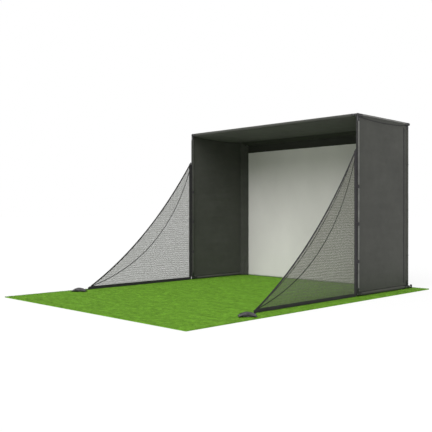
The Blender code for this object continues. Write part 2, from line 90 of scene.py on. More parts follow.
# Cloth cover: sleeves round the tubes, clear of the fittings at each corner
SLEEVE_RADIUS = 0.0248
SLEEVE_START = ARM_LENGTH + 0.0025
COVER_MARGIN = 0.0965
SEAM_Z = TOP_Z - SLEEVE_RADIUS

# A wall's cloth between its sleeves, and how far two rows of stitches stand in from its edges
WALL_DEPTH = 1.43
WALL_RISE = 2.66
SEAM_INSETS = (0.012, 0.030)

# Weld distance for meshes of stitches, finer than the one that other meshes get
STITCH_WELD = 1e-7

X_AXIS = Vector((1, 0, 0))
Y_AXIS = Vector((0, 1, 0))
Z_AXIS = Vector((0, 0, 1))


# ---------------------------------------------------------------- settings


def colour_setting(name, description, default):
    return bpy.props.FloatVectorProperty(
        name=name,
        description=description,
        default=default,
        size=3,
        min=0,
        max=1,
        subtype="COLOR",
    )


def length_setting(name, description, default, low=0.0, high=1.0):
    return bpy.props.FloatProperty(
        name=name,
        description=description,
        default=default,
        min=low,
        max=high,
        precision=4,
        unit="LENGTH",
    )


class GOLFBAY_PG_cloth(bpy.types.PropertyGroup):
    """Colours and slackness of the cover, the borders and the screen."""

    wall_colour: colour_setting("Cover", "Colour of the walls and the roof", (0.063, 0.0645, 0.056))
    # Painted shade: colour of the black strips on the front sleeves' front faces, near the rear edge
    # and in the crease under the top sleeve
    shade_tape_colour: colour_setting("Tapes", "Colour of the sewn tapes", (0.01, 0.01, 0.01))
    # Painted highlight: colour of the pale strips where light catches the front and top sleeves
    highlight_piping_colour: colour_setting("Piping", "Colour of the front and top piping", (0.17, 0.17, 0.16))
    border_colour: colour_setting("Borders", "Colour of the borders", (0.060, 0.061, 0.053))
    # Partly painted shade: the top border and the header take this darker copy of the border cloth,
    # for the shade under the roof
    shaded_header_colour: colour_setting("Header", "Colour of top border and header", (0.03, 0.031, 0.026))
    screen_colour: colour_setting("Screen", "Colour of the impact screen", (0.74, 0.71, 0.70))
    thickness: length_setting("Cloth", "Thickness of the cloth", 0.0016, 0.0005, 0.01)
    ripple: length_setting("Ripple", "Depth of the cover's ripples", 0.0035, 0, 0.03)
    roof_sag: length_setting("Roof sag", "How far the roof hangs at its middle", 0.032, 0, 0.1)
    border_folds: length_setting("Border folds", "Depth of the borders' folds", 0.012, 0, 0.03)


class GOLFBAY_PG_net(bpy.types.PropertyGroup):
    """The netting's mesh and the webbing round it."""

    net_colour: colour_setting("Netting", "Colour of the netting", (0.078, 0.080, 0.058))
    webbing_colour: colour_setting("Webbing", "Colour of hems and straps", (0.02, 0.018, 0.021))
    pitch: length_setting("Mesh", "Side of one mesh square", 0.015, 0.005, 0.05)
    strand: length_setting("Strand", "Width of one strand", 0.0054, 0.001, 0.01)
    strand_depth: length_setting("Strand depth", "Depth of one strand", 0.0015, 0.0005, 0.01)
    course: length_setting("Course", "Height of one knitted course", 0.038, 0.01, 0.1)
    billow: length_setting("Billow", "How far the net bellies out", 0.012, 0, 0.05)


class GOLFBAY_PG_frame(bpy.types.PropertyGroup):
    """Finish of the steel and the plastic."""

    steel_colour: colour_setting("Powder coat", "Colour of tubes and fittings", (0.017, 0.017, 0.018))
    zinc_colour: colour_setting("Zinc", "Colour of the plated steel", (0.55, 0.55, 0.57))
    plastic_colour: colour_setting("Plastic", "Colour of plugs and feet", (0.018, 0.018, 0.019))


class GOLFBAY_PG_ground(bpy.types.PropertyGroup):
    """The turf mat, the sandbags and the studio floor."""

    pile_colour: colour_setting("Turf", "Main colour of the pile", (0.232, 0.545, 0.042))
    sandbag_colour: colour_setting("Sandbag", "Colour of the sandbags", (0.05, 0.046, 0.052))
    floor_colour: colour_setting("Floor", "Colour of the studio floor", (0.93, 0.93, 0.93))
    pile_height: length_setting("Pile", "Height of the pile", 0.010, 0.002, 0.04)
    blades: bpy.props.IntProperty(
        name="Blades",
        description="Number of turf blades",
        default=170000,
        min=0,
        max=400000,
    )


# ---------------------------------------------------------------- materials


class Surface:
    """A material's node tree, with short calls to add and link nodes."""

    def __init__(self, name, colour, roughness, metallic=0.0, **sockets):
        self.material = bpy.data.materials.new(name)
        self.material.use_nodes = True
        self.tree = self.material.node_tree
        self.shader = self.tree.nodes["Principled BSDF"]
        self.shader.inputs["Base Color"].default_value = (*colour, 1)
        self.shader.inputs["Roughness"].default_value = roughness
        self.shader.inputs["Metallic"].default_value = metallic
        for socket, value in sockets.items():
            self.shader.inputs[socket.replace("_", " ").title()].default_value = value

    def node(self, kind, inputs=(), **settings):
        node = self.tree.nodes.new(f"ShaderNode{kind}")
        for name, value in settings.items():
            setattr(node, name, value)
        for name, value in dict(inputs).items():
            if isinstance(value, bpy.types.NodeSocket):
                self.tree.links.new(value, node.inputs[name])
            else:
                node.inputs[name].default_value = value
        return node

    def place(self, source="Object", scale=(1, 1, 1)):
        """Coordinates in metres: Object for the whole enclosure, or UV for along the cloth."""
        coordinates = self.node("TexCoord").outputs[source]
        mapping = self.node("Mapping", {"Vector": coordinates, "Scale": scale})
        return mapping.outputs["Vector"]

    def noise(self, scale, detail=4.0, source="Object", stretch=(1, 1, 1), roughness=0.55):
        vector = self.place(source, stretch)
        values = {"Vector": vector, "Scale": scale, "Detail": detail, "Roughness": roughness}
        return self.node("TexNoise", values).outputs["Fac"]

    def ramp(self, factor, low, high, dark, light):
        """Spread a factor between low and high over two greys or two colours."""
        ramp = self.node("ValToRGB", {"Fac": factor})
        for element, place, tone in zip(ramp.color_ramp.elements, (low, high), (dark, light)):
            element.position = place
            element.color = (*tone, 1) if hasattr(tone, "__len__") else (tone, tone, tone, 1)
        return ramp.outputs["Color"]

    def mix(self, factor, first, second, blend="MIX"):
        mix = self.node("Mix", data_type="RGBA", blend_type=blend)
        for socket, value in ((0, factor), (6, first), (7, second)):
            if isinstance(value, bpy.types.NodeSocket):
                self.tree.links.new(value, mix.inputs[socket])
            elif socket:
                mix.inputs[socket].default_value = (*value, 1)
            else:
                mix.inputs[socket].default_value = value
        return mix.outputs[2]

    def math(self, operation, first, second):
        node = self.node("Math", operation=operation)
        for socket, value in enumerate((first, second)):
            if isinstance(value, bpy.types.NodeSocket):
                self.tree.links.new(value, node.inputs[socket])
            else:
                node.inputs[socket].default_value = value
        return node.outputs[0]

    def set(self, socket, value):
        self.tree.links.new(value, self.shader.inputs[socket])

    def bump(self, height, distance, strength=1.0):
        """Stack one more layer of relief on the surface, distance metres deep."""
        values = {"Height": height, "Distance": distance, "Strength": strength}
        links = self.shader.inputs["Normal"].links
        if links:
            values["Normal"] = links[0].from_socket
        self.set("Normal", self.node("Bump", values).outputs["Normal"])


def shade(colour, factor):
    return tuple(min(1.0, part * factor) for part in colour)


def weave(surface, thread, depth):
    """Over-and-under threads this wide, on coordinates that run along the cloth."""
    rows = []
    for direction in ("X", "Y"):
        wave = surface.node(
            "TexWave",
            {"Vector": surface.place("UV"), "Scale": math.tau / (20 * thread)},
            wave_type="BANDS",
            bands_direction=direction,
        )
        rows.append(wave.outputs["Fac"])
    surface.bump(surface.math("MULTIPLY", *rows), depth, 0.5)


def cloth_material(name, colour, thread=0.0011, fade=0.12, roughness=0.86, streak=1.0):
    """Coated woven cloth: soft blotches, faint level creases with their shade painted as darker level
    bands, and a fine weave.
    """
    surface = Surface(name, colour, roughness, sheen_weight=0.05, sheen_roughness=0.6)
    surface.shader.inputs["Specular IOR Level"].default_value = 0.3
    blotch = surface.noise(1.6, 5)
    tone = surface.ramp(blotch, 0.3, 0.72, shade(colour, 1 - fade), shade(colour, 1 + fade))
    # Painted shade: level bands of the colour darkened to 0.9, standing for the shade of faint
    # creases
    level = surface.ramp(surface.noise(9, 5, stretch=(0.35, 0.35, 1.3)), 0.3, 0.7, 0.9, 1.0)
    fine = surface.ramp(surface.noise(420, 2), 0.3, 0.7, 0.86, 1.0)
    tone = surface.mix(1.0, tone, level, "MULTIPLY")
    surface.set("Base Color", surface.mix(1.0, tone, fine, "MULTIPLY"))
    surface.set("Roughness", surface.ramp(surface.noise(7, 4), 0.3, 0.75, 0.78, 0.94))
    creases = surface.noise(6.0, 6, stretch=(0.45, 0.45, 1.2), roughness=0.62)
    surface.bump(creases, 0.010 * streak, 0.35)
    weave(surface, thread, 0.0002)
    return surface.material


def screen_material(name, colour):
    """Tight white cloth with a faint grey bloom and soft pull marks."""
    surface = Surface(name, colour, 0.78, sheen_weight=0.1, sheen_roughness=0.5)
    blotch = surface.noise(1.1, 6, stretch=(1, 1, 0.6))
    tone = surface.ramp(blotch, 0.28, 0.75, shade(colour, 0.9), shade(colour, 1.04))
    fine = surface.ramp(surface.noise(500, 2), 0.3, 0.7, 0.95, 1.0)
    surface.set("Base Color", surface.mix(1.0, tone, fine, "MULTIPLY"))
    surface.bump(surface.noise(2.6, 5, stretch=(1.4, 1, 0.5)), 0.02, 0.3)
    weave(surface, 0.0013, 0.0002)
    return surface.material


def webbing_material(name, colour):
    """Ribbed polyester tape, a little dusty."""
    surface = Surface(name, colour, 0.78, sheen_weight=0.04, sheen_roughness=0.5)
    dust = surface.noise(9, 5)
    tone = surface.ramp(dust, 0.32, 0.74, shade(colour, 0.8), shade(colour, 1.45))
    surface.set("Base Color", tone)
    ribs = surface.node(
        "TexWave",
        {"Vector": surface.place("UV"), "Scale": math.tau / (20 * 0.0022), "Distortion": 0.6},
        wave_type="BANDS",
        bands_direction="X",
    )
    surface.bump(ribs.outputs["Fac"], 0.0004, 0.6)
    weave(surface, 0.0016, 0.0003)
    return surface.material


def net_material(name, colour):
    """Twisted dark twine."""
    surface = Surface(name, colour, 0.7, sheen_weight=0.15, sheen_roughness=0.5)
    tone = surface.ramp(surface.noise(60, 3), 0.3, 0.7, shade(colour, 0.7), shade(colour, 1.7))
    surface.set("Base Color", tone)
    surface.bump(surface.noise(900, 2), 0.0004, 0.6)
    return surface.material


def powder_coat_material(name, colour):
    """Satin powder coat with a fine orange peel and a few scuffs."""
    surface = Surface(name, colour, 0.45, coat_weight=0.06, coat_roughness=0.35)
    scuffs = surface.noise(38, 7, stretch=(1, 1, 0.3), roughness=0.7)
    worn = surface.ramp(scuffs, 0.62, 0.78, colour, shade(colour, 3.2))
    surface.set("Base Color", worn)
    surface.set("Roughness", surface.ramp(scuffs, 0.35, 0.7, 0.34, 0.56))
    surface.bump(surface.noise(700, 2), 0.0003, 0.3)
    return surface.material


def plated_material(name, colour):
    """Dull zinc plate with spangle and faint drawing lines."""
    surface = Surface(name, colour, 0.36, 1.0)
    spangle = surface.node("TexVoronoi", {"Vector": surface.place(), "Scale": 160})
    tone = surface.ramp(spangle.outputs["Distance"], 0.0, 0.7, shade(colour, 0.75), colour)
    surface.set("Base Color", tone)
    surface.set("Roughness", surface.ramp(surface.noise(30, 4), 0.3, 0.7, 0.28, 0.5))
    surface.bump(surface.noise(300, 2, stretch=(4, 0.3, 4)), 0.0002, 0.4)
    return surface.material


def plastic_material(name, colour):
    """Matte moulded plastic or rubber with a spark-eroded grain."""
    surface = Surface(name, colour, 0.55)
    tone = surface.ramp(surface.noise(50, 5), 0.35, 0.75, shade(colour, 0.85), shade(colour, 1.7))
    surface.set("Base Color", tone)
    surface.set("Roughness", surface.ramp(surface.noise(90, 3), 0.3, 0.7, 0.48, 0.68))
    surface.bump(surface.noise(1100, 2), 0.0003, 0.5)
    return surface.material


def elastic_material(name, colour):
    """Braided cover of an elastic cord."""
    surface = Surface(name, colour, 0.7, sheen_weight=0.2)
    braid = surface.node("TexVoronoi", {"Vector": surface.place(), "Scale": 700})
    tone = surface.ramp(braid.outputs["Distance"], 0.1, 0.8, shade(colour, 1.8), colour)
    surface.set("Base Color", tone)
    surface.bump(braid.outputs["Distance"], 0.0006, 0.7)
    return surface.material


def turf_material(name, colour, depth):
    """Short pile: broad rolls of tone, clumps, and blades of several greens."""
    surface = Surface(name, colour, 0.9)
    surface.shader.inputs["Specular IOR Level"].default_value = 0.12
    yellow = (colour[0] * 1.5, colour[1] * 1.22, colour[2] * 1.6)
    deep = (colour[0] * 0.5, colour[1] * 0.6, colour[2] * 0.5)
    blades = surface.ramp(surface.noise(230, 3), 0.34, 0.66, deep, yellow)
    clumps = surface.ramp(surface.noise(15, 7, roughness=0.72), 0.36, 0.64, 0.55, 1.0)
    swirl = surface.noise(5.5, 5, stretch=(0.6, 1.5, 1), roughness=0.6)
    broad = surface.ramp(swirl, 0.34, 0.66, 0.74, 1.0)
    tone = surface.mix(1.0, surface.mix(1.0, blades, clumps, "MULTIPLY"), broad, "MULTIPLY")
    surface.set("Base Color", surface.mix(depth, tone, shade(deep, 0.5)))
    surface.bump(surface.noise(160, 4), 0.006, 0.7)
    return surface.material


def backing_material(name):
    """Dark latex on the underside of the turf."""
    surface = Surface(name, (0.03, 0.034, 0.028), 0.8)
    surface.bump(surface.noise(140, 3), 0.002, 0.5)
    return surface.material


def sandbag_material(name, colour):
    """Heavy coated cloth with a slight shine, dusted and creased."""
    surface = Surface(name, colour, 0.6, sheen_weight=0.15, sheen_roughness=0.5)
    dust = surface.ramp(surface.noise(14, 6), 0.34, 0.72, shade(colour, 0.75), shade(colour, 1.6))
    surface.set("Base Color", dust)
    surface.set("Roughness", surface.ramp(surface.noise(20, 4), 0.3, 0.7, 0.5, 0.75))
    surface.bump(surface.noise(45, 5, roughness=0.6), 0.003, 0.5)
    surface.bump(surface.noise(800, 2), 0.0003, 0.5)
    return surface.material


# ---------------------------------------------------------------- meshes


class Shape:
    """Points, faces and cloth coordinates that become one mesh."""

    def __init__(self):
        self.points = []
        self.faces = []
        self.coords = []

    def grid(self, place, columns, rows, size=(1, 1)):
        """A sheet: place(u, v) gives the point for u and v from 0 to 1; size is in metres."""
        start = len(self.points)
        for j in range(rows + 1):
            for i in range(columns + 1):
                u, v = i / columns, j / rows
                self.points.append(tuple(place(u, v)))
                self.coords.append((u * size[0], v * size[1]))
        for j in range(rows):
            for i in range(columns):
                a = start + j * (columns + 1) + i
                self.faces.append((a, a + 1, a + columns + 2, a + columns + 1))
        return self

    def sweep(self, path, section, normal, loop=False):
        """Carry a closed section along the path.

        The section is a list of (across, along the normal), or gives one from a share of
        the path's length.
        """
        path = [Vector(point) for point in path]
        count = len(path)
        start = len(self.points)
        run = 0.0
        for i, point in enumerate(path):
            before = path[i - 1] if i or loop else point
            after = path[(i + 1) % count] if i + 1 < count or loop else point
            if i:
                run += (point - path[i - 1]).length
            ahead = (after - before).normalized()
            across = ahead.cross(Vector(normal)).normalized()
            up = across.cross(ahead)
            ring = section(i / (count - 1)) if callable(section) else section
            self.points += [tuple(point + across * a + up * b) for a, b in ring]
            self.coords += [(run, k / len(ring) * 0.06) for k in range(len(ring))]
        sides = len(ring)
        for i in range(count if loop else count - 1):
            a = start + i * sides
            b = start + (i + 1) % count * sides
            for k in range(sides):
                n = (k + 1) % sides
                self.faces.append((a + k, a + n, b + n, b + k))
        if not loop:
            self.faces.append(tuple(range(start, start + sides))[::-1])
            self.faces.append(tuple(range(start + (count - 1) * sides, start + count * sides)))
        return self

    def turned(self, profile, start, direction, sides=32):
        """A turned solid: (radius, distance) points along the direction from start."""
        turn = Vector(direction).to_track_quat("Z", "Y").to_matrix()
        start = Vector(start)
        first = len(self.points)
        for radius, distance in profile:
            for k in range(sides):
                angle = math.tau * k / sides
                spoke = Vector((radius * math.cos(angle), radius * math.sin(angle), distance))
                self.points.append(tuple(start + turn @ spoke))
                self.coords.append((k / sides * 0.15, distance))
        for i in range(len(profile) - 1):
            a = first + i * sides
            for k in range(sides):
                n = (k + 1) % sides
                self.faces.append((a + k, a + n, a + n + sides, a + k + sides))
        return self

    def mesh(self, name, weld=1e-5, outward=True):
        mesh = bpy.data.meshes.new(name)
        mesh.from_pydata(self.points, [], self.faces)
        layer = mesh.uv_layers.new(name="cloth")
        corners = np.empty(len(mesh.loops), np.int32)
        mesh.loops.foreach_get("vertex_index", corners)
        layer.data.foreach_set("uv", np.array(self.coords, np.float32)[corners].ravel())
        bm = bmesh.new()
        bm.from_mesh(mesh)
        bmesh.ops.remove_doubles(bm, verts=bm.verts[:], dist=weld)
        bmesh.ops.dissolve_degenerate(bm, edges=bm.edges[:], dist=weld)
        if outward:
            bmesh.ops.recalc_face_normals(bm, faces=bm.faces[:])
        bm.to_mesh(mesh)
        bm.free()
        return mesh


def add_piece(name, mesh, body, material, replaces=(), thickness=0.0, sharp=40):
    """Link a finished piece, shade it, and tie it to its body."""
    piece = bpy.data.objects.new(name, mesh)
    bpy.context.scene.collection.objects.link(piece)
    piece.data.materials.append(material)
    if piece.type == "MESH":
        piece.data.shade_smooth()
        piece.data.set_sharp_from_angle(angle=math.radians(sharp))
    if thickness:
        solid = piece.modifiers.new("thickness", "SOLIDIFY")
        solid.thickness = thickness
        solid.offset = 0
    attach(piece, body)
    if replaces:
        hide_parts(*replaces)
    return piece


def flat_section(width, thickness, round_share=0.3):
    """A tape's cross-section, with rounded edges."""
    w, t = width / 2, thickness / 2
    shoulder = w - min(w, t) * (1 + round_share)
    half = [(w, 0), (w - t * 0.3, t * 0.75), (shoulder, t)]
    ring = half + [(-a, b) for a, b in half[::-1]]
    return ring + [(-a, -b) for a, b in ring[1:-1]]


def arc_section(inner, outer, half_angle, steps=8):
    """A curved strip's cross-section, bent round the line that it follows."""
    angles = [half_angle * (2 * i / steps - 1) for i in range(steps + 1)]
    ring = [(outer * math.sin(a), outer * math.cos(a)) for a in angles]
    return ring + [(inner * math.sin(a), inner * math.cos(a)) for a in angles[::-1]]


def round_section(radius, sides=8):
    angles = [math.tau * k / sides for k in range(sides)]
    return [(radius * math.cos(a), radius * math.sin(a)) for a in angles]


def ball_profile(radius, steps):
    """Half a circle, for a ball turned about its middle."""
    angles = [math.pi * k / steps for k in range(steps + 1)]
    return [(radius * math.sin(a), -radius * math.cos(a)) for a in angles]


def hump(share, power=1.0):
    """0 at both ends and 1 in the middle."""
    return math.sin(math.pi * min(max(share, 0), 1)) ** power


def ripple(point, scale, seed, stretch=(1, 1, 1)):
    """Smooth noise from -1 to 1."""
    at = Vector(a * b * scale for a, b in zip(point, stretch))
    return noise.noise(at + Vector((seed * 7.31, seed * 3.17, seed * 5.73)))


def stitch_line(shape, path, normal, pitch=0.009, length=0.0055, width=0.0011, lift=0.0):
    """A row of stitches along a path: small pointed beads of thread."""
    path = [Vector(point) for point in path]
    normal = Vector(normal).normalized()
    carry = 0.0
    for a, b in zip(path, path[1:]):
        run = (b - a).length
        if run < 1e-6:
            continue
        ahead = (b - a) / run
        across = ahead.cross(normal).normalized()
        while carry < run:
            centre = a + ahead * carry + normal * lift
            ends = (centre - ahead * length / 2, centre + ahead * length / 2)
            waist = [
                centre + across * width / 2,
                centre + normal * width * 0.6,
                centre - across * width / 2,
                centre - normal * width * 0.6,
            ]
            start = len(shape.points)
            shape.points += [tuple(point) for point in (*ends, *waist)]
            shape.coords += [(0, 0)] * 6
            for k in range(4):
                n = (k + 1) % 4
                shape.faces.append((start, start + 2 + n, start + 2 + k))
                shape.faces.append((start + 1, start + 2 + k, start + 2 + n))
            carry += pitch
        carry -= run


def line(a, b, steps):
    a, b = Vector(a), Vector(b)
    return [a.lerp(b, i / steps) for i in range(steps + 1)]


# ---------------------------------------------------------------- steel frame


class GOLFBAY_OT_frame_tubes(bpy.types.Operator):
    """Add the enclosure's round steel tubes."""

    bl_idname = "golfbay.frame_tubes"
    bl_label = "Frame Tubes"

    def execute(self, context):
        settings = context.scene.golfbay_frame
        coat = powder_coat_material("powder_coat", settings.steel_colour)
        zinc = plated_material("zinc_plate", settings.zinc_colour)
        for node in sorted(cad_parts):
            if node.endswith(("_tube", "_upright")) and not node.endswith("_foot_tube"):
                self.tube(node, coat, "black_steel", 0.0015)
        for side in SIDES:
            self.tube(f"{side}_rear_foot_tube", zinc, "bare_steel", 0.0015)
        return {"FINISHED"}

    def tube(self, node, material, slot, wall):
        """A tube in the plain node's place, with its bore open at both ends."""
        low, high = map(Vector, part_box(node))
        size = high - low
        axis = max(range(3), key=lambda k: size[k])
        radius = min(size) / 2
        start = (low + high) / 2
        start[axis] = low[axis]
        direction = (X_AXIS, Y_AXIS, Z_AXIS)[axis]
        length = size[axis]
        bore = radius - wall
        rim = 0.0004
        profile = [
            (bore, 0.0),
            (radius - rim, 0.0),
            (radius, rim),
            (radius, length - rim),
            (radius - rim, length),
            (bore, length),
            (bore, 0.0),
        ]
        mesh = Shape().turned(profile, start, direction, 40).mesh(node)
        add_piece(f"{node}_steel", mesh, "frame", material, (node,))


class GOLFBAY_OT_fittings(bpy.types.Operator):
    """Add the corner fittings and the screws that lock the tubes in them."""

    bl_idname = "golfbay.fittings"
    bl_label = "Corner Fittings"

    def execute(self, context):
        settings = context.scene.golfbay_frame
        coat = powder_coat_material("fitting_coat", shade(settings.steel_colour, 0.85))
        zinc = plated_material("screw_plate", shade(settings.zinc_colour, 0.5))
        for side, sign in SIDES.items():
            inward = -sign * X_AXIS
            corners = {
                "top_front": (FRONT_Y, TOP_Z, (inward, Y_AXIS, -Z_AXIS), False),
                "top_rear": (REAR_Y, TOP_Z, (inward, -Y_AXIS, -Z_AXIS), True),
                "bottom_front": (FRONT_Y, BOTTOM_Z, (Y_AXIS, Z_AXIS), False),
                "bottom_rear": (REAR_Y, BOTTOM_Z, (inward, -Y_AXIS, Z_AXIS), True),
            }
            for corner, (y, z, arms, stub) in corners.items():
                centre = Vector((POST_X[side], y, z))
                node = f"{side}_{corner}_fitting"
                self.fitting(node, centre, arms, stub, corner == "bottom_rear", coat)
                self.screws(node, centre, arms, sign, zinc)
        return {"FINISHED"}

    def fitting(self, node, centre, arms, stub, small_bore, material):
        shape = Shape()
        shape.turned(ball_profile(HUB_RADIUS, 16), centre, Z_AXIS, 32)
        sockets = [(arm, ARM_LENGTH, SOCKET_RADIUS) for arm in arms]
        if stub:
            sockets.append((Y_AXIS, STUB_LENGTH, FOOT_SOCKET_RADIUS if small_bore else SOCKET_RADIUS))
        for arm, length, bore in sockets:
            profile = [
                (0.0, 0.008),
                (ARM_RADIUS - 0.0006, 0.008),
                (ARM_RADIUS - 0.0006, length - 0.013),
                (ARM_RADIUS + 0.0008, length - 0.0105),
                (ARM_RADIUS + 0.0008, length - 0.0012),
                (ARM_RADIUS, length),
                (bore + 0.0005, length),
                (bore, length - 0.0008),
                (bore, 0.0285),
                (0.0, 0.0285),
            ]
            shape.turned(profile, centre, arm, 32)
        mesh = shape.mesh(node)
        add_piece(f"{node}_casting", mesh, "frame", material, (node,))

    def screws(self, node, centre, arms, sign, material):
        """A hexagon screw through the outer side of each socket."""
        shape = Shape()
        head, shank = 0.0062, 0.0035
        for arm in arms:
            behind = 1 if centre.y > (FRONT_Y + REAR_Y) / 2 else -1
            outward = Y_AXIS * behind if arm.x else sign * X_AXIS
            seat = centre + arm * 0.062 + outward * (ARM_RADIUS - 0.002)
            shape.turned([(0, 0), (head * 1.15, 0.0015), (head * 1.15, 0.0028)], seat, outward, 24)
            hexagon = [(head, 0.0028), (head, 0.0052), (head * 0.86, 0.006), (0, 0.006)]
            shape.turned(hexagon, seat, outward, 6)
            shape.turned([(shank, 0.0058), (shank, 0.0085), (0, 0.009)], seat, outward, 16)
        mesh = shape.mesh(f"{node}_screws")
        add_piece(f"{node}_screws", mesh, "frame", material)


class GOLFBAY_OT_rear_feet(bpy.types.Operator):
    """Add the rubber feet and the socket plugs at the back."""

    bl_idname = "golfbay.rear_feet"
    bl_label = "Feet and Plugs"

    def execute(self, context):
        colour = context.scene.golfbay_frame.plastic_colour
        rubber = plastic_material("foot_rubber", shade(colour, 0.9))
        plastic = plastic_material("plug_plastic", colour)
        for side in SIDES:
            self.foot(side, rubber)
            self.plug(side, plastic)
        return {"FINISHED"}

    def foot(self, side, material):
        """An upright rubber shoe whose collar grips the foot tube."""
        node = f"{side}_rear_foot"
        low, high = map(Vector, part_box(node))
        tube_end = Vector((middle(node).x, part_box(f"{side}_rear_foot_tube")[1][1], BOTTOM_Z))
        front, rear = tube_end.y - 0.016, high.y
        width, depth, corner = 0.026, rear - front, 0.006
        centre_y = (front + rear) / 2

        def section(share):
            flare = 1 + 0.12 * (1 - share) ** 3
            pinch = 1 - 0.35 * max(0.0, (share - 0.9) / 0.1) ** 2
            w, d = width / 2 * flare * pinch, depth / 2 * pinch
            outline = []
            for cx, cy, turn in ((1, 1, 0), (-1, 1, 90), (-1, -1, 180), (1, -1, 270)):
                for step in range(5):
                    angle = math.radians(turn + step * 22.5)
                    x = cx * (w - corner) + corner * math.cos(angle)
                    y = cy * (d - corner) + corner * math.sin(angle)
                    outline.append((x, y))
            return outline

        path = line((tube_end.x, centre_y, low.z), (tube_end.x, centre_y, high.z), 14)
        shape = Shape().sweep(path, section, Y_AXIS)
        bore, collar, grip = 0.0132, 0.0161, 0.026
        profile = [
            (bore, 0.0),
            (collar - 0.0008, 0.0),
            (collar, 0.001),
            (collar, grip),
            (bore, grip),
            (bore, 0.0),
        ]
        shape.turned(profile, (tube_end.x, front - 0.006, BOTTOM_Z), Y_AXIS, 32)
        for ridge in range(3):
            start = (tube_end.x, front - 0.0045 + ridge * 0.0022, BOTTOM_Z)
            rib = [(collar - 0.0004, 0), (collar + 0.0006, 0.0006), (collar - 0.0004, 0.0012)]
            shape.turned(rib, start, Y_AXIS, 32)
        mesh = shape.mesh(node)
        add_piece(f"{node}_shoe", mesh, "frame", material, (node,))

    def plug(self, side, material):
        node = f"{side}_rear_plug"
        mouth = Vector((POST_X[side], REAR_Y + STUB_LENGTH, TOP_Z))
        head = ARM_RADIUS
        profile = [
            (0.0, 0.0065),
            (0.004, 0.0065),
            (0.0055, 0.0078),
            (0.014, 0.0072),
            (0.0205, 0.0052),
            (head - 0.0008, 0.0028),
            (head - 0.0004, 0.0016),
            (head - 0.0006, 0.0004),
            (0.0209, 0.0004),
            (0.0209, -0.018),
            (0.0, -0.018),
        ]
        mesh = Shape().turned(profile, mouth, Y_AXIS, 40).mesh(node)
        add_piece(f"{node}_cap", mesh, "frame", material, (node,))


# ---------------------------------------------------------------- cloth cover


def pocket_drop(share):
    """How far the loose pocket under a side top tube hangs, from front to rear."""
    return 0.031 * hump(0.02 + 0.96 * share, 0.75)


def sleeve_section(share, seed, drop, slack, sides):
    """A cloth sleeve's section round a tube: up is +b; the lower part may hang."""
    ring = []
    for k in range(sides):
        angle = math.tau * k / sides
        radius = SLEEVE_RADIUS - 0.0004
        radius += slack * ripple((share * 14, math.cos(angle), math.sin(angle)), 1.3, seed)
        a, b = radius * math.cos(angle), radius * math.sin(angle)
        hang = max(0.0, -math.sin(angle)) ** 2
        ring.append((a * (1 - 0.75 * hang * min(1, drop * 40)), b - drop * hang))
    return ring


def cloth_tube(shape, start, end, normal, seed, drop=None, steps=70, slack=0.0011):
    """An open-ended sleeve of cloth from start to end."""
    start, end = Vector(start), Vector(end)
    ahead = (end - start).normalized()
    across = ahead.cross(Vector(normal)).normalized()
    up = across.cross(ahead)
    sides = 20
    rings = [
        sleeve_section(i / steps, seed, drop(i / steps) if drop else 0.0, slack, sides)
        for i in range(steps + 1)
    ]

    def place(u, v):
        a, b = rings[round(v * steps)][round(u * sides) % sides]
        return start.lerp(end, v) + across * a + up * b

    shape.grid(place, sides, steps, (math.tau * SLEEVE_RADIUS, (end - start).length))


def front_sleeves(side):
    """Lengths of sleeve on the front upright, between the net's ties."""
    gap = 0.003
    edges = [BOTTOM_Z + SLEEVE_START]
    for number in (1, 2, 3):
        low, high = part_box(f"{side}_net_tie_{number}")
        edges += [low[2] - gap, high[2] + gap]
    edges.append(TOP_Z - SLEEVE_START)
    return list(zip(edges[::2], edges[1::2]))


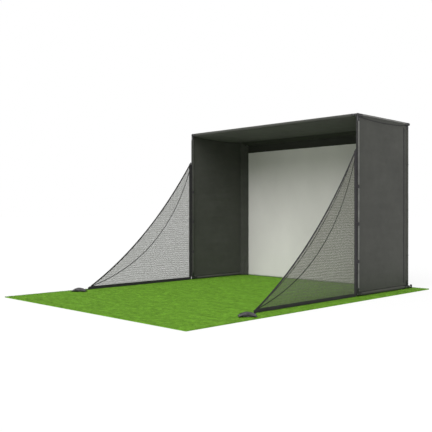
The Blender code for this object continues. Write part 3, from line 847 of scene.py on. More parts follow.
class GOLFBAY_OT_roof(bpy.types.Operator):
    """Add the roof cloth, its four sleeves and its seams."""

    bl_idname = "golfbay.roof"
    bl_label = "Roof"

    def execute(self, context):
        settings = context.scene.golfbay_cloth
        material = cloth_material("roof_cloth", settings.wall_colour)
        left, right = POST_X["left"], POST_X["right"]
        margin = COVER_MARGIN
        deep = REAR_Y - FRONT_Y

        def height(u, v):
            sides = pocket_drop((v * deep - margin) / (deep - 2 * margin))
            sag = settings.roof_sag * hump(v, 0.8)
            blend = min(1.0, min(u, 1 - u) * 9)
            blend = blend * blend * (3 - 2 * blend)
            flat = SEAM_Z - sides * (1 - blend) - sag * (0.9 + 0.25 * hump(u)) * blend
            at = (u * 3.6, v * 1.5, 0)
            fine = 0.8 * ripple(at, 1.7, 3, (0.45, 1, 1))
            fine += 0.35 * ripple(at, 5.0, 4, (1, 0.35, 1))
            return flat + settings.ripple * fine * hump(v, 0.5) * hump(u, 0.3)

        def sheet_point(u, v):
            return Vector((left + (right - left) * u, FRONT_Y + deep * v, height(u, v)))

        shape = Shape()
        shape.grid(sheet_point, 150, 64, (right - left, deep))
        for index, y in enumerate((FRONT_Y, REAR_Y)):
            start, end = (left + margin, y, TOP_Z), (right - margin, y, TOP_Z)
            cloth_tube(shape, start, end, Z_AXIS, 11 + index, steps=150)
        for index, x in enumerate((left, right)):
            start, end = (x, FRONT_Y + margin, TOP_Z), (x, REAR_Y - margin, TOP_Z)
            cloth_tube(shape, start, end, Z_AXIS, 13 + index, pocket_drop, 80)
        mesh = shape.mesh("roof", outward=False)
        roof = add_piece(
            "roof_cover",
            mesh,
            "frame",
            material,
            ("roof_panel",),
            settings.thickness,
        )
        self.seams(sheet_point)
        return {"FINISHED"}

    def seams(self, sheet_point):
        """Two rows of stitches along each sleeve, seen from below."""
        shape = Shape()
        for offset in (0.026, 0.034):
            across = offset / (2 * HALF_WIDTH)
            deep = offset / (REAR_Y - FRONT_Y)
            for v in (deep, 1 - deep):
                path = [sheet_point(0.03 + 0.94 * i / 60, v) for i in range(61)]
                stitch_line(shape, path, -Z_AXIS, lift=0.0011)
            for u in (across, 1 - across):
                path = [sheet_point(u, 0.07 + 0.86 * i / 40) for i in range(41)]
                stitch_line(shape, path, -Z_AXIS, lift=0.0011)
        mesh = shape.mesh("roof_seams", weld=STITCH_WELD)
        thread = webbing_material("cover_thread", (0.09, 0.09, 0.085))
        add_piece("roof_seams", mesh, "frame", thread)


class GOLFBAY_OT_walls(bpy.types.Operator):
    """Add the two wall cloths with their sleeves and seams, black tapes of painted shade and pale
    piping of painted highlight.
    """

    bl_idname = "golfbay.walls"
    bl_label = "Walls"

    def execute(self, context):
        settings = context.scene.golfbay_cloth
        material = cloth_material("wall_cloth", settings.wall_colour)
        thread = webbing_material("wall_thread", (0.085, 0.085, 0.08))
        for side in SIDES:
            self.wall(side, settings, material, thread)
        return {"FINISHED"}

    def wall(self, side, settings, material, thread):
        x = POST_X[side]
        seed = 21 if side == "left" else 22
        front, rear = FRONT_Y + SLEEVE_RADIUS - 0.001, REAR_Y - SLEEVE_RADIUS + 0.001
        bottom = BOTTOM_Z + SLEEVE_RADIUS - 0.001
        pocket = REAR_Y - FRONT_Y - 2 * COVER_MARGIN

        def sheet_point(u, v):
            y = front + (rear - front) * u
            top = SEAM_Z - pocket_drop((y - FRONT_Y - COVER_MARGIN) / pocket) + 0.002
            z = bottom + (top - bottom) * v
            edge = hump(u, 0.45) * hump(v, 0.35)
            arch = 0.10 * (2 * u - 1) ** 2
            at = (u * 1.45, v * 2.65 + arch, 0)
            broad = ripple(at, 0.9, seed) * 1.6
            level = ripple(at, 2.0, seed + 2, (0.35, 3.6, 1)) * 1.9
            fine = ripple(at, 3.0, seed + 6, (0.4, 4.2, 1))
            upright = ripple(at, 2.2, seed + 4, (2.4, 0.5, 1)) * 0.25
            hem = 0.25 * ripple(at, 9, seed + 8, (2, 0.6, 1)) * (1 - hump(u, 0.2))
            offset = settings.ripple * ((broad + level + fine + upright) * edge + hem)
            return Vector((x + offset, y, z))

        shape = Shape()
        shape.grid(sheet_point, 84, 150, (rear - front, TOP_Z - BOTTOM_Z))
        start, end = (x, REAR_Y, BOTTOM_Z + SLEEVE_START), (x, REAR_Y, TOP_Z - SLEEVE_START)
        cloth_tube(shape, start, end, X_AXIS, seed + 10, steps=130)
        start, end = (x, FRONT_Y + SLEEVE_START, BOTTOM_Z), (x, REAR_Y - SLEEVE_START, BOTTOM_Z)
        cloth_tube(shape, start, end, Z_AXIS, seed + 11, steps=80)
        for low, high in front_sleeves(side):
            steps = max(10, round((high - low) / 0.02))
            cloth_tube(shape, (x, FRONT_Y, low), (x, FRONT_Y, high), X_AXIS, seed + 12, steps=steps)
        mesh = shape.mesh(f"{side}_wall", outward=False)
        wall = add_piece(
            f"{side}_wall_cover",
            mesh,
            "frame",
            material,
            (f"{side}_side_panel",),
            settings.thickness,
        )
        stitches = Shape()
        for normal in (-1, 1):
            for inset in SEAM_INSETS:
                for u in (inset / WALL_DEPTH, 1 - inset / WALL_DEPTH):
                    path = [sheet_point(u, 0.03 + 0.94 * i / 90) for i in range(91)]
                    stitch_line(stitches, path, X_AXIS * normal, lift=0.0011)
                for v in (inset / WALL_RISE, 1 - inset / WALL_RISE):
                    path = [sheet_point(0.04 + 0.92 * i / 50, v) for i in range(51)]
                    stitch_line(stitches, path, X_AXIS * normal, lift=0.0011)
        mesh = stitches.mesh(f"{side}_wall_seams", weld=STITCH_WELD)
        add_piece(f"{side}_wall_seams", mesh, "frame", thread)
        self.shade_tapes(side, sheet_point, settings)

    def shade_tapes(self, side, sheet_point, settings):
        """Black tapes of painted shade: on the front faces of the front sleeves, near the rear edge
        for the crease by the rear sleeve, and in the crease under the top sleeve. Pale piping of
        painted highlight where light catches the front sleeves and the top sleeve; pale stitches on
        the front sleeves.
        """
        x, outward = POST_X[side], SIDES[side] * X_AXIS
        black = Shape()
        highlight_piping = Shape()
        inner, outer = SLEEVE_RADIUS + 0.0009, SLEEVE_RADIUS + 0.0024
        for low, high in front_sleeves(side):
            path = line((x, FRONT_Y, low + 0.002), (x, FRONT_Y, high - 0.002), 8)
            # Painted shade: a black strip over the sleeve's front face
            black.sweep(path, arc_section(inner, outer, math.radians(36)), -Y_AXIS)
            # Painted highlight: a pale strip on the sleeve's front-outer side, where light catches
            # it; pale stitches in two rows on the front face
            facing = Matrix.Rotation(-SIDES[side] * math.radians(18), 3, "Z") @ outward
            highlight_piping.sweep(path, arc_section(inner, outer + 0.001, math.radians(15)), facing)
            for spread in (-0.38, 0.38):
                turn = Matrix.Rotation(spread, 3, "Z") @ -Y_AXIS
                row = [point + turn * outer for point in path]
                stitch_line(highlight_piping, row, turn, 0.016, 0.009, 0.0016)
        lift = outward * 0.0018
        # Painted shade: a black strip near the rear edge, for the crease beside the rear sleeve
        rear = [sheet_point(0.945, 0.02 + 0.965 * i / 130) + lift for i in range(131)]
        black.sweep(rear, flat_section(0.03, 0.002), outward)
        # Painted highlight: a pale strip along the top sleeve, facing outward and a little up
        top = line((x, FRONT_Y + SLEEVE_START, TOP_Z), (x, REAR_Y - SLEEVE_START, TOP_Z), 30)
        rise_up = (outward + 0.15 * Z_AXIS).normalized()
        highlight_piping.sweep(top, arc_section(inner, outer + 0.001, math.radians(15)), rise_up)
        # Painted shadow: a black strip in the crease under the top sleeve
        brim = 1 - 0.004 / WALL_RISE
        crease = [sheet_point(0.03 + 0.94 * i / 60, brim) + lift for i in range(61)]
        black.sweep(crease, flat_section(0.012, 0.0025), outward)
        name = f"{side}_wall"
        # Material of the strips of painted shade
        tape = webbing_material(f"{name}_tape", settings.shade_tape_colour)
        add_piece(f"{name}_tapes", black.mesh("shade_tapes"), "frame", tape)
        # Material of the strips of painted highlight
        pale = webbing_material(f"{name}_piping", settings.highlight_piping_colour)
        add_piece(f"{name}_piping", highlight_piping.mesh("highlight_piping", STITCH_WELD), "frame", pale)


class GOLFBAY_OT_borders(bpy.types.Operator):
    """Add the dark strips that slope in to the screen, and the header band."""

    bl_idname = "golfbay.borders"
    bl_label = "Screen Borders"

    def execute(self, context):
        settings = context.scene.golfbay_cloth
        material = cloth_material("border_cloth", settings.border_colour, streak=2.0)
        self.folds = settings.border_folds
        for side in SIDES:
            self.side_strip(side, settings, material)
        # Partly painted shade: a darker copy of the border cloth for the top border and the header,
        # under the roof
        material = cloth_material("shaded_header_cloth", settings.shaded_header_colour, streak=2.0)
        self.top_strip(settings, material)
        self.header(settings, material)
        return {"FINISHED"}

    def side_strip(self, side, settings, material):
        sign = SIDES[side]
        low, high = map(Vector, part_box(f"{side}_border"))
        outer_x, inner_x = (low.x, high.x) if side == "left" else (high.x, low.x)
        inner_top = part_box("top_border")[0][2] - 0.002
        outer_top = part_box("top_border")[1][2] - 0.004
        floor = TURF_TOP + 0.001
        seed = 31 if side == "left" else 32
        out = Vector((-(high.y - low.y) * sign, -(high.x - low.x), 0)).normalized()

        def place(u, v):
            top = outer_top + (inner_top - outer_top) * u
            x, y = outer_x + (inner_x - outer_x) * u, low.y + (high.y - low.y) * u
            z = floor + (top - floor) * v
            at = (u * 0.16, v * 2.65, 0)
            upright = ripple(at, 7.0, seed, (3.2, 0.35, 1))
            slant = ripple((at[0] - at[1] * 0.25, at[1], 0), 5.5, seed + 2, (2.6, 0.9, 1))
            level = ripple(at, 6.0, seed + 4, (0.8, 1.2, 1))
            free = (0.3 + 0.7 * hump(0.08 + 0.8 * u)) * (0.45 + 1.1 * (1 - v) ** 1.5)
            gathered = 0.3 + 1.9 * max(0.0, 0.62 - v)
            depth = self.folds * (0.65 * upright + gathered * slant + 0.35 * level) * free
            return Vector((x, y, z)) + out * depth

        shape = Shape().grid(place, 26, 240, (0.16, 2.65))
        mesh = shape.mesh(f"{side}_border", outward=False)
        node = f"{side}_border"
        strip = add_piece(
            f"{node}_strip", mesh, "frame", material, (node,), settings.thickness
        )

    def top_strip(self, settings, material):
        low, high = map(Vector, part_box("top_border"))
        inner = (high.x - low.x) / 2 - (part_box("left_border")[1][0] - low.x)

        def place(u, v):
            half = (high.x - low.x) / 2 + (inner - (high.x - low.x) / 2) * v
            x = BAY_X + (2 * u - 1) * half
            at = (x, v * 0.14, 0)
            streak = ripple(at, 1.6, 41, (1, 7, 1)) + 0.6 * ripple(at, 3.5, 42, (0.8, 5, 1))
            wavy = ripple(at, 1.2, 43, (1.2, 0, 1))
            z = high.z - 0.003 + (low.z - high.z + 0.004) * v - 0.006 * wavy * v
            y = low.y + (high.y - low.y - 0.004) * v
            slope = Vector((0, -0.65, -0.75))
            return Vector((x, y, z)) + slope * self.folds * 1.2 * streak * hump(0.1 + 0.8 * v)

        shape = Shape().grid(place, 220, 18, (3.6, 0.14))
        mesh = shape.mesh("top_border", outward=False)
        strip = add_piece(
            "top_border_strip",
            mesh,
            "frame",
            material,
            ("top_border",),
            settings.thickness,
        )

    def header(self, settings, material):
        low, high = map(Vector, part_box("screen_header"))
        y = low.y

        def place(u, v):
            x = low.x + (high.x - low.x) * u
            at = (x, v * 0.13, 0)
            wave = ripple(at, 1.3, 51, (1, 1.5, 1)) * 0.0025 * hump(v, 0.6)
            return Vector((x, y - 0.0005 + wave, low.z + (high.z - low.z + 0.01) * v))

        shape = Shape().grid(place, 160, 10, (3.36, 0.13))
        mesh = shape.mesh("header", outward=False)
        band = add_piece(
            "header_band",
            mesh,
            "frame",
            material,
            ("screen_header",),
            settings.thickness,
        )
        stitches = Shape()
        for rise in (0.006, 0.014):
            path = [place(i / 120, rise / 0.14) for i in range(121)]
            stitch_line(stitches, path, -Y_AXIS, lift=0.001)
        mesh = stitches.mesh("header_seams", weld=STITCH_WELD)
        thread = webbing_material("header_thread", (0.06, 0.06, 0.055))
        add_piece("header_seams", mesh, "frame", thread)


class GOLFBAY_OT_screen(bpy.types.Operator):
    """Add the impact screen with its hemmed edges and eyelets."""

    bl_idname = "golfbay.screen"
    bl_label = "Impact Screen"

    def execute(self, context):
        settings = context.scene.golfbay_cloth
        material = screen_material("screen_cloth", settings.screen_colour)
        low, high = map(Vector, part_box("impact_screen"))

        def place(u, v):
            x, z = low.x + (high.x - low.x) * u, low.z + (high.z - low.z) * v
            at = (x, z, 0)
            pull = 0.003 * ripple(at, 0.8, 61, (1, 0.6, 1))
            pull += 0.0012 * ripple(at, 3.0, 62, (1.6, 0.4, 1))
            edge = hump(0.03 + 0.94 * u, 0.5) * hump(0.03 + 0.94 * v, 0.5)
            return Vector((x, SCREEN_Y + abs(pull) * edge, z))

        shape = Shape().grid(place, 120, 96, (high.x - low.x, high.z - low.z))
        mesh = shape.mesh("screen", outward=False)
        screen = add_piece(
            "screen_cloth",
            mesh,
            "frame",
            material,
            ("impact_screen",),
            settings.thickness,
        )
        hems = self.hems(low, high)
        eyelets = self.eyelets()
        return {"FINISHED"}

    def hems(self, low, high):
        """Black tape round the screen's edge, on the back."""
        shape = Shape()
        inset, rear = 0.022, SCREEN_Y + 0.002
        section = flat_section(0.04, 0.0026)
        left, right = low.x + inset, high.x - inset
        bottom, top = low.z + inset, high.z - inset
        past = 0.019
        for a, b in (
            ((left, rear, bottom), (left, rear, top)),
            ((right, rear, bottom), (right, rear, top)),
            ((left - past, rear + 0.0006, bottom), (right + past, rear + 0.0006, bottom)),
            ((left - past, rear + 0.0006, top), (right + past, rear + 0.0006, top)),
        ):
            shape.sweep(line(a, b, 60), section, Y_AXIS)
        mesh = shape.mesh("screen_hems")
        tape = webbing_material("screen_tape", (0.03, 0.03, 0.03))
        return add_piece("screen_hems", mesh, "frame", tape)

    def eyelets(self):
        """A plated ring in the screen for each elastic tie."""
        shape = Shape()
        for side, sign in SIDES.items():
            for node in tie_nodes(side):
                at = Vector((POST_X[side] - sign * 0.0685, SCREEN_Y + 0.0012, middle(node).z))
                ring = [
                    (0.0058, -0.0035),
                    (0.0105, -0.0035),
                    (0.0112, -0.0025),
                    (0.0112, 0.0030),
                    (0.0105, 0.0042),
                    (0.0078, 0.0046),
                    (0.0058, 0.0030),
                    (0.0058, -0.0035),
                ]
                shape.turned(ring, at, Y_AXIS, 28)
        mesh = shape.mesh("eyelets")
        plate = plated_material("eyelet_plate", (0.35, 0.35, 0.36))
        return add_piece("screen_eyelets", mesh, "frame", plate)


def tie_nodes(side):
    return sorted(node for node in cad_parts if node.startswith(f"{side}_screen_tie_"))


class GOLFBAY_OT_screen_ties(bpy.types.Operator):
    """Add the elastic ties that hold the screen to the rear uprights."""

    bl_idname = "golfbay.screen_ties"
    bl_label = "Elastic Ties"

    def execute(self, context):
        cover = elastic_material("elastic_cover", (0.02, 0.02, 0.021))
        for side, sign in SIDES.items():
            for node in tie_nodes(side):
                self.tie(node, side, sign, cover)
        return {"FINISHED"}

    def tie(self, node, side, sign, material):
        centre = Vector((POST_X[side], REAR_Y, middle(node).z))
        reach, wrap = SCREEN_Y - REAR_Y, 0.0295
        points = []
        for i in range(13):
            angle = math.radians(180 - 275 * i / 12)
            points.append((wrap * math.cos(angle), wrap * math.sin(angle)))
        points += [(-0.030, -0.0405), (-0.045, -0.0452), (-0.062, -0.0468)]
        for i in range(5):
            angle = math.radians(-100 - 160 * i / 4)
            points.append((-0.067 + 0.0066 * math.cos(angle), reach + 0.0066 * math.sin(angle)))
        points += [(-0.056, -0.0305), (-0.045, -0.0262)]
        path = smooth_loop([centre + Vector((sign * x, y, 0)) for x, y in points], 3)
        shape = Shape().sweep(path, round_section(0.0025, 10), Z_AXIS, loop=True)
        at = centre + Vector((sign * -0.045, -0.0262, 0))
        shape.turned(ball_profile(0.0108, 14), at, Z_AXIS, 24)
        mesh = shape.mesh(node)
        add_piece(f"{node}_elastic", mesh, "frame", material, (node,))


def smooth_loop(points, steps):
    """A closed smooth curve through the points."""
    count = len(points)
    path = []
    for i in range(count):
        a, b, c, d = (points[(i + k) % count] for k in (-1, 0, 1, 2))
        for j in range(steps):
            t = j / steps
            path.append(
                0.5
                * (
                    2 * b
                    + (c - a) * t
                    + (2 * a - 5 * b + 4 * c - d) * t * t
                    + (3 * b - a - 3 * c + d) * t * t * t
                )
            )
    return path


# ---------------------------------------------------------------- side nets


# Heights above the turf where a net's curved lines start and end, and the point each line is
# drawn towards: a share of the net's length, and a height
NET_APEX = 2.285
NET_TIP = 0.03
EDGE_PULL = (0.45, 0.77)
SEAM_PULL = (0.245, 0.47)
FOLD_PULL = (0.405, 0.70)
STRIP_LENGTH = 2.9


class NetPlane:
    """One side net's own plane: distance forward from the upright, and height."""

    def __init__(self, side, billow):
        self.side = side
        self.billow = billow
        self.x = POST_X[side]
        low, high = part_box(f"{side}_net_bottom_hem")
        self.length = FRONT_Y - low[1]
        self.floor = low[2]
        self.hem_top = high[2]

    def bulge(self, reach, height):
        """Sideways slack of the net, nil along its three edges."""
        s = max(0.0, reach / self.length)
        h = max(0.0, (height - TURF_TOP) / NET_APEX)
        inside = max(0.0, 1 - (s**0.8 + h**0.8))
        shape = min(1.0, 6 * s) * min(1.0, 6 * h) * min(1.0, 2.6 * inside)
        wave = 0.75 + 0.35 * ripple((reach, height, 0), 1.1, 71)
        wave += 0.2 * ripple((reach, height, 0), 3.2, 72)
        return self.billow * shape * wave * SIDES[self.side]

    def point(self, reach, height):
        return Vector((self.x + self.bulge(reach, height), FRONT_Y - reach, height))

    def curve(self, pull, steps):
        """Points (reach, height) on a smooth curve from the upright to the front corner."""
        apex = Vector((0, TURF_TOP + NET_APEX))
        bend = Vector((self.length * pull[0], pull[1]))
        tip = Vector((self.length, TURF_TOP + NET_TIP))
        shares = [i / steps for i in range(steps + 1)]
        return [tuple(apex.lerp(bend, t).lerp(bend.lerp(tip, t), t)) for t in shares]

    def depth_inside(self, reach, height, pull):
        """Distance in from a curve, as arrays: negative outside it."""
        curve = np.array(self.curve(pull, 400))
        heads = np.interp(reach, curve[:, 0], curve[:, 1])
        slope = np.interp(reach, curve[1:, 0], np.diff(curve[:, 1]) / np.diff(curve[:, 0]))
        return (heads - height) / np.hypot(1, slope)


class GOLFBAY_OT_side_nets(bpy.types.Operator):
    """Add both side nets: netting, edge tape, hems, ties and corner straps."""

    bl_idname = "golfbay.side_nets"
    bl_label = "Side Nets"

    def execute(self, context):
        settings = context.scene.golfbay_net
        twine = net_material("net_twine", settings.net_colour)
        tape = webbing_material("net_webbing", settings.webbing_colour)
        thread = webbing_material("net_thread", (0.05, 0.048, 0.052))
        for side in SIDES:
            plane = NetPlane(side, settings.billow)
            self.netting(plane, settings, twine)
            self.edging(plane, tape, thread)
            self.hems(plane, tape, thread)
            for number in (1, 2, 3):
                self.tie(plane, number, tape)
            self.corner_strap(plane, tape)
        return {"FINISHED"}

    def netting(self, plane, settings, material):
        """Square meshes hung on the diagonal, in two panels joined along the seam."""
        root = settings.pitch / math.sqrt(2)
        count = int(plane.length / root) + 4
        i, j = np.meshgrid(np.arange(-count, count), np.arange(0, 2 * count), indexing="ij")
        a, b = i.ravel(), j.ravel()
        reach, height = (a + b + 1) * root, (b - a) * root + plane.floor
        beside_post, above_turf, from_edge = 0.052, 0.03, 0.008
        keep = (reach > beside_post) & (height > plane.floor + above_turf) & (reach < plane.length)
        keep &= plane.depth_inside(reach, height, EDGE_PULL) > from_edge
        a, b, reach, height = (part[keep] for part in (a, b, reach, height))
        inner = plane.depth_inside(reach, height, SEAM_PULL) > 0
        rng = np.random.default_rng(5)
        size = int(max(a.max(), b.max(), -a.min())) + 3
        unevenness = 0.0007
        jitter = rng.normal(0, unevenness, (2 * size + 4, size + 4, 2))
        panels = {"inner": inner, "outer": ~inner}
        for panel, chosen in panels.items():
            self.panel(plane, settings, panel, a[chosen], b[chosen], jitter, size, material)

    def panel(self, plane, settings, panel, a, b, jitter, size, material):
        pitch, strand = settings.pitch, settings.strand
        root = pitch / math.sqrt(2)
        offsets = [(0, 0), (1, 0), (1, 1), (0, 1)]
        stride = 100000
        keys = np.stack([(a + p + size) * stride + (b + q) for p, q in offsets], axis=1)
        unique, index = np.unique(keys, return_inverse=True)
        index = index.reshape(keys.shape)
        node_a, node_b = unique // stride - size, unique % stride
        shift = jitter[node_a + size, node_b]
        flat = np.stack([(node_a + node_b) * root, (node_b - node_a) * root + plane.floor], axis=1)
        flat = flat + shift
        corners = flat[index]
        centres = corners.mean(axis=1, keepdims=True)
        heights = centres[:, 0, 1]
        wander = np.array([ripple((*c, 0), 3.0, 75) for c in centres[:, 0]])
        course = np.sin(math.tau * heights / settings.course + 4.0 * wander)
        shrink = 1 - strand / pitch * (1 + 0.20 * course)
        holes = centres + (corners - centres) * shrink[:, None, None]
        ring = holes.reshape(-1, 2)
        points = [plane.point(s, h) for s, h in np.concatenate([flat, ring])]
        start = len(flat)
        cells = np.arange(len(a)) * 4 + start
        faces = []
        for k in range(4):
            n = (k + 1) % 4
            faces.append(np.stack([index[:, k], index[:, n], cells + n, cells + k], axis=1))
        mesh = bpy.data.meshes.new(f"{plane.side}_netting_{panel}")
        mesh.from_pydata(points, [], np.concatenate(faces).tolist())
        node = f"{plane.side}_net_mesh"
        piece = add_piece(
            f"{plane.side}_netting_{panel}",
            mesh,
            f"{plane.side}_net",
            material,
            (node,) if panel == "inner" else (),
            settings.strand_depth,
            180,
        )
        low, high = flat.min(axis=0), flat.max(axis=0)
        width, height = high - low
        area = len(a) * pitch * pitch
        if area < 0.3 * width * height:
            # A narrow curved panel is cut from a straight strip, with a little waste
            width, height = STRIP_LENGTH, area / STRIP_LENGTH * 1.02

    def edging(self, plane, tape, thread):
        """Folded tape along the sloping edge, and the thin taped seam inside it."""
        body = f"{plane.side}_net"
        width = 0.025
        edge = plane.curve(EDGE_PULL, 150)
        middle_line = []
        for i, (s, h) in enumerate(edge):
            before, after = edge[max(i - 1, 0)], edge[min(i + 1, len(edge) - 1)]
            run = (Vector(after) - Vector(before)).normalized()
            place = (s + run.y * width / 2, h - run.x * width / 2)
            if place[0] > 0.036 and place[1] > plane.hem_top - 0.004:
                middle_line.append(place)
        path = [plane.point(s, h) for s, h in middle_line]
        shape = Shape().sweep(path, flat_section(width, 0.0055), X_AXIS)
        node = f"{plane.side}_net_edge_binding"
        name = f"{plane.side}_net_edge_tape"
        add_piece(name, shape.mesh(node), body, tape, (node,))
        shape = Shape()
        rows = [(SEAM_PULL, 0.012)]
        if plane.side == "right":
            rows.append((FOLD_PULL, 0.008))
        for pull, wide in rows:
            seam = [
                plane.point(s, h)
                for s, h in plane.curve(pull, 150)
                if s > 0.07 and h > plane.hem_top - 0.01
            ]
            shape.sweep(seam, flat_section(wide, 0.006), X_AXIS)
        mesh = shape.mesh("seam")
        black = webbing_material(f"{plane.side}_seam_tape", (0.004, 0.004, 0.004))
        add_piece(f"{plane.side}_net_seam_tape", mesh, body, black)
        stitches = Shape()
        for side in (-1, 1):
            for offset in (-0.0085, 0.0085):
                row = []
                for i, point in enumerate(path):
                    ahead = (path[min(i + 1, len(path) - 1)] - path[max(i - 1, 0)]).normalized()
                    row.append(point + ahead.cross(X_AXIS) * offset)
                stitch_line(stitches, row, X_AXIS * side, lift=0.0027)
        mesh = stitches.mesh("edge_stitches", weld=STITCH_WELD)
        add_piece(f"{plane.side}_net_edge_stitches", mesh, body, thread)

    def hems(self, plane, tape, thread):
        """Wide tape beside the upright and along the turf."""
        body = f"{plane.side}_net"
        upright = f"{plane.side}_net_upright_hem"
        low, high = map(Vector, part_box(upright))
        near, far = FRONT_Y - high.y, FRONT_Y - low.y
        start = near - 0.0055
        reach = (start + far) / 2
        slope = 0.02
        path = [plane.point(reach, h) for h in np.linspace(low.z, high.z - slope, 120)]
        shape = Shape().sweep(path, flat_section(far - start - 0.0008, 0.0048), X_AXIS)
        name = f"{plane.side}_net_upright_band"
        add_piece(name, shape.mesh(upright), body, tape, (upright,))
        bottom = f"{plane.side}_net_bottom_hem"
        low, high = map(Vector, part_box(bottom))
        rise = high.z - low.z
        reaches = np.linspace(FRONT_Y - high.y, FRONT_Y - low.y, 140)
        edge = plane.curve(EDGE_PULL, 400)
        heads = np.interp(reaches, [s for s, h in edge], [h for s, h in edge])
        levels = [(low.z + min(high.z, head)) / 2 for head in heads]
        points = [plane.point(s, level) for s, level in zip(reaches, levels)]

        def section(share):
            head = heads[round(share * (len(heads) - 1))]
            return flat_section(max(0.008, min(rise, head - low.z)), 0.007)

        shape = Shape().sweep(points, section, X_AXIS)
        name = f"{plane.side}_net_bottom_band"
        add_piece(name, shape.mesh(bottom), body, tape, (bottom,))
        stitches = Shape()
        for side in (-1, 1):
            for s in (near + 0.006, far - 0.006):
                row = [plane.point(s, h) for h in np.linspace(low.z + 0.06, 2.02, 60)]
                stitch_line(stitches, row, X_AXIS * side, lift=0.0024)
            for lift in (0.007, rise - 0.007):
                row = [plane.point(s, low.z + lift) for s in reaches[1:-16]]
                stitch_line(stitches, row, X_AXIS * side, lift=0.0035)
        mesh = stitches.mesh("hem_stitches", weld=STITCH_WELD)
        add_piece(f"{plane.side}_net_hem_stitches", mesh, body, thread)

    def tie(self, plane, number, tape):
        """A hook-and-loop band round the upright, sewn to the hem."""
        node = f"{plane.side}_net_tie_{number}"
        low, high = map(Vector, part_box(node))
        centre = Vector((plane.x, FRONT_Y, (low.z + high.z) / 2))
        tall = high.z - low.z - 0.001
        inner, outer = 0.02155, 0.0238
        half = tall / 2
        shape = Shape()
        ring = [
            (inner, -half),
            (outer - 0.0005, -half),
            (outer, -half + 0.0008),
            (outer, half - 0.0008),
            (outer - 0.0005, half),
            (inner, half),
            (inner, -half),
        ]
        shape.turned(ring, centre, Z_AXIS, 40)
        lap = []
        for step in range(13):
            angle = math.radians(-150 + step * 7)
            spoke = Vector((math.cos(angle) * SIDES[plane.side], math.sin(angle), 0))
            lap.append(centre + spoke * (outer + 0.0012))
        standing = [(b, -a) for a, b in flat_section(tall * 0.86, 0.002)]
        shape.sweep(lap, standing, Z_AXIS)
        tab = [centre - Y_AXIS * (outer - 0.002 + 0.04 * t / 8) for t in range(9)]
        for point in tab:
            point.x += SIDES[plane.side] * 0.0032
        shape.sweep(tab, flat_section(tall * 0.92, 0.0026), X_AXIS)
        add_piece(
            f"{node}_band", shape.mesh(node), f"{plane.side}_net", tape, (node,)
        )

    def corner_strap(self, plane, tape):
        """A strap on the turf from the net's front corner to under the sandbag."""
        node = f"{plane.side}_net_corner_strap"
        bag = middle(f"{plane.side}_sandbag")
        tip = Vector((plane.x, FRONT_Y - plane.length + 0.02, TURF_TOP + 0.0022))
        toward = Vector((bag.x, bag.y, tip.z)) - tip
        path = []
        for i in range(25):
            point = tip + toward * (i / 24)
            point.z += 0.006 * hump(i / 24 * 1.6, 2) if i < 15 else 0
            path.append(point)
        shape = Shape().sweep(path, flat_section(0.038, 0.0024), Z_AXIS)
        mesh = shape.mesh(node)
        add_piece(f"{node}_webbing", mesh, f"{plane.side}_net", tape, (node,))


# ---------------------------------------------------------------- sandbags


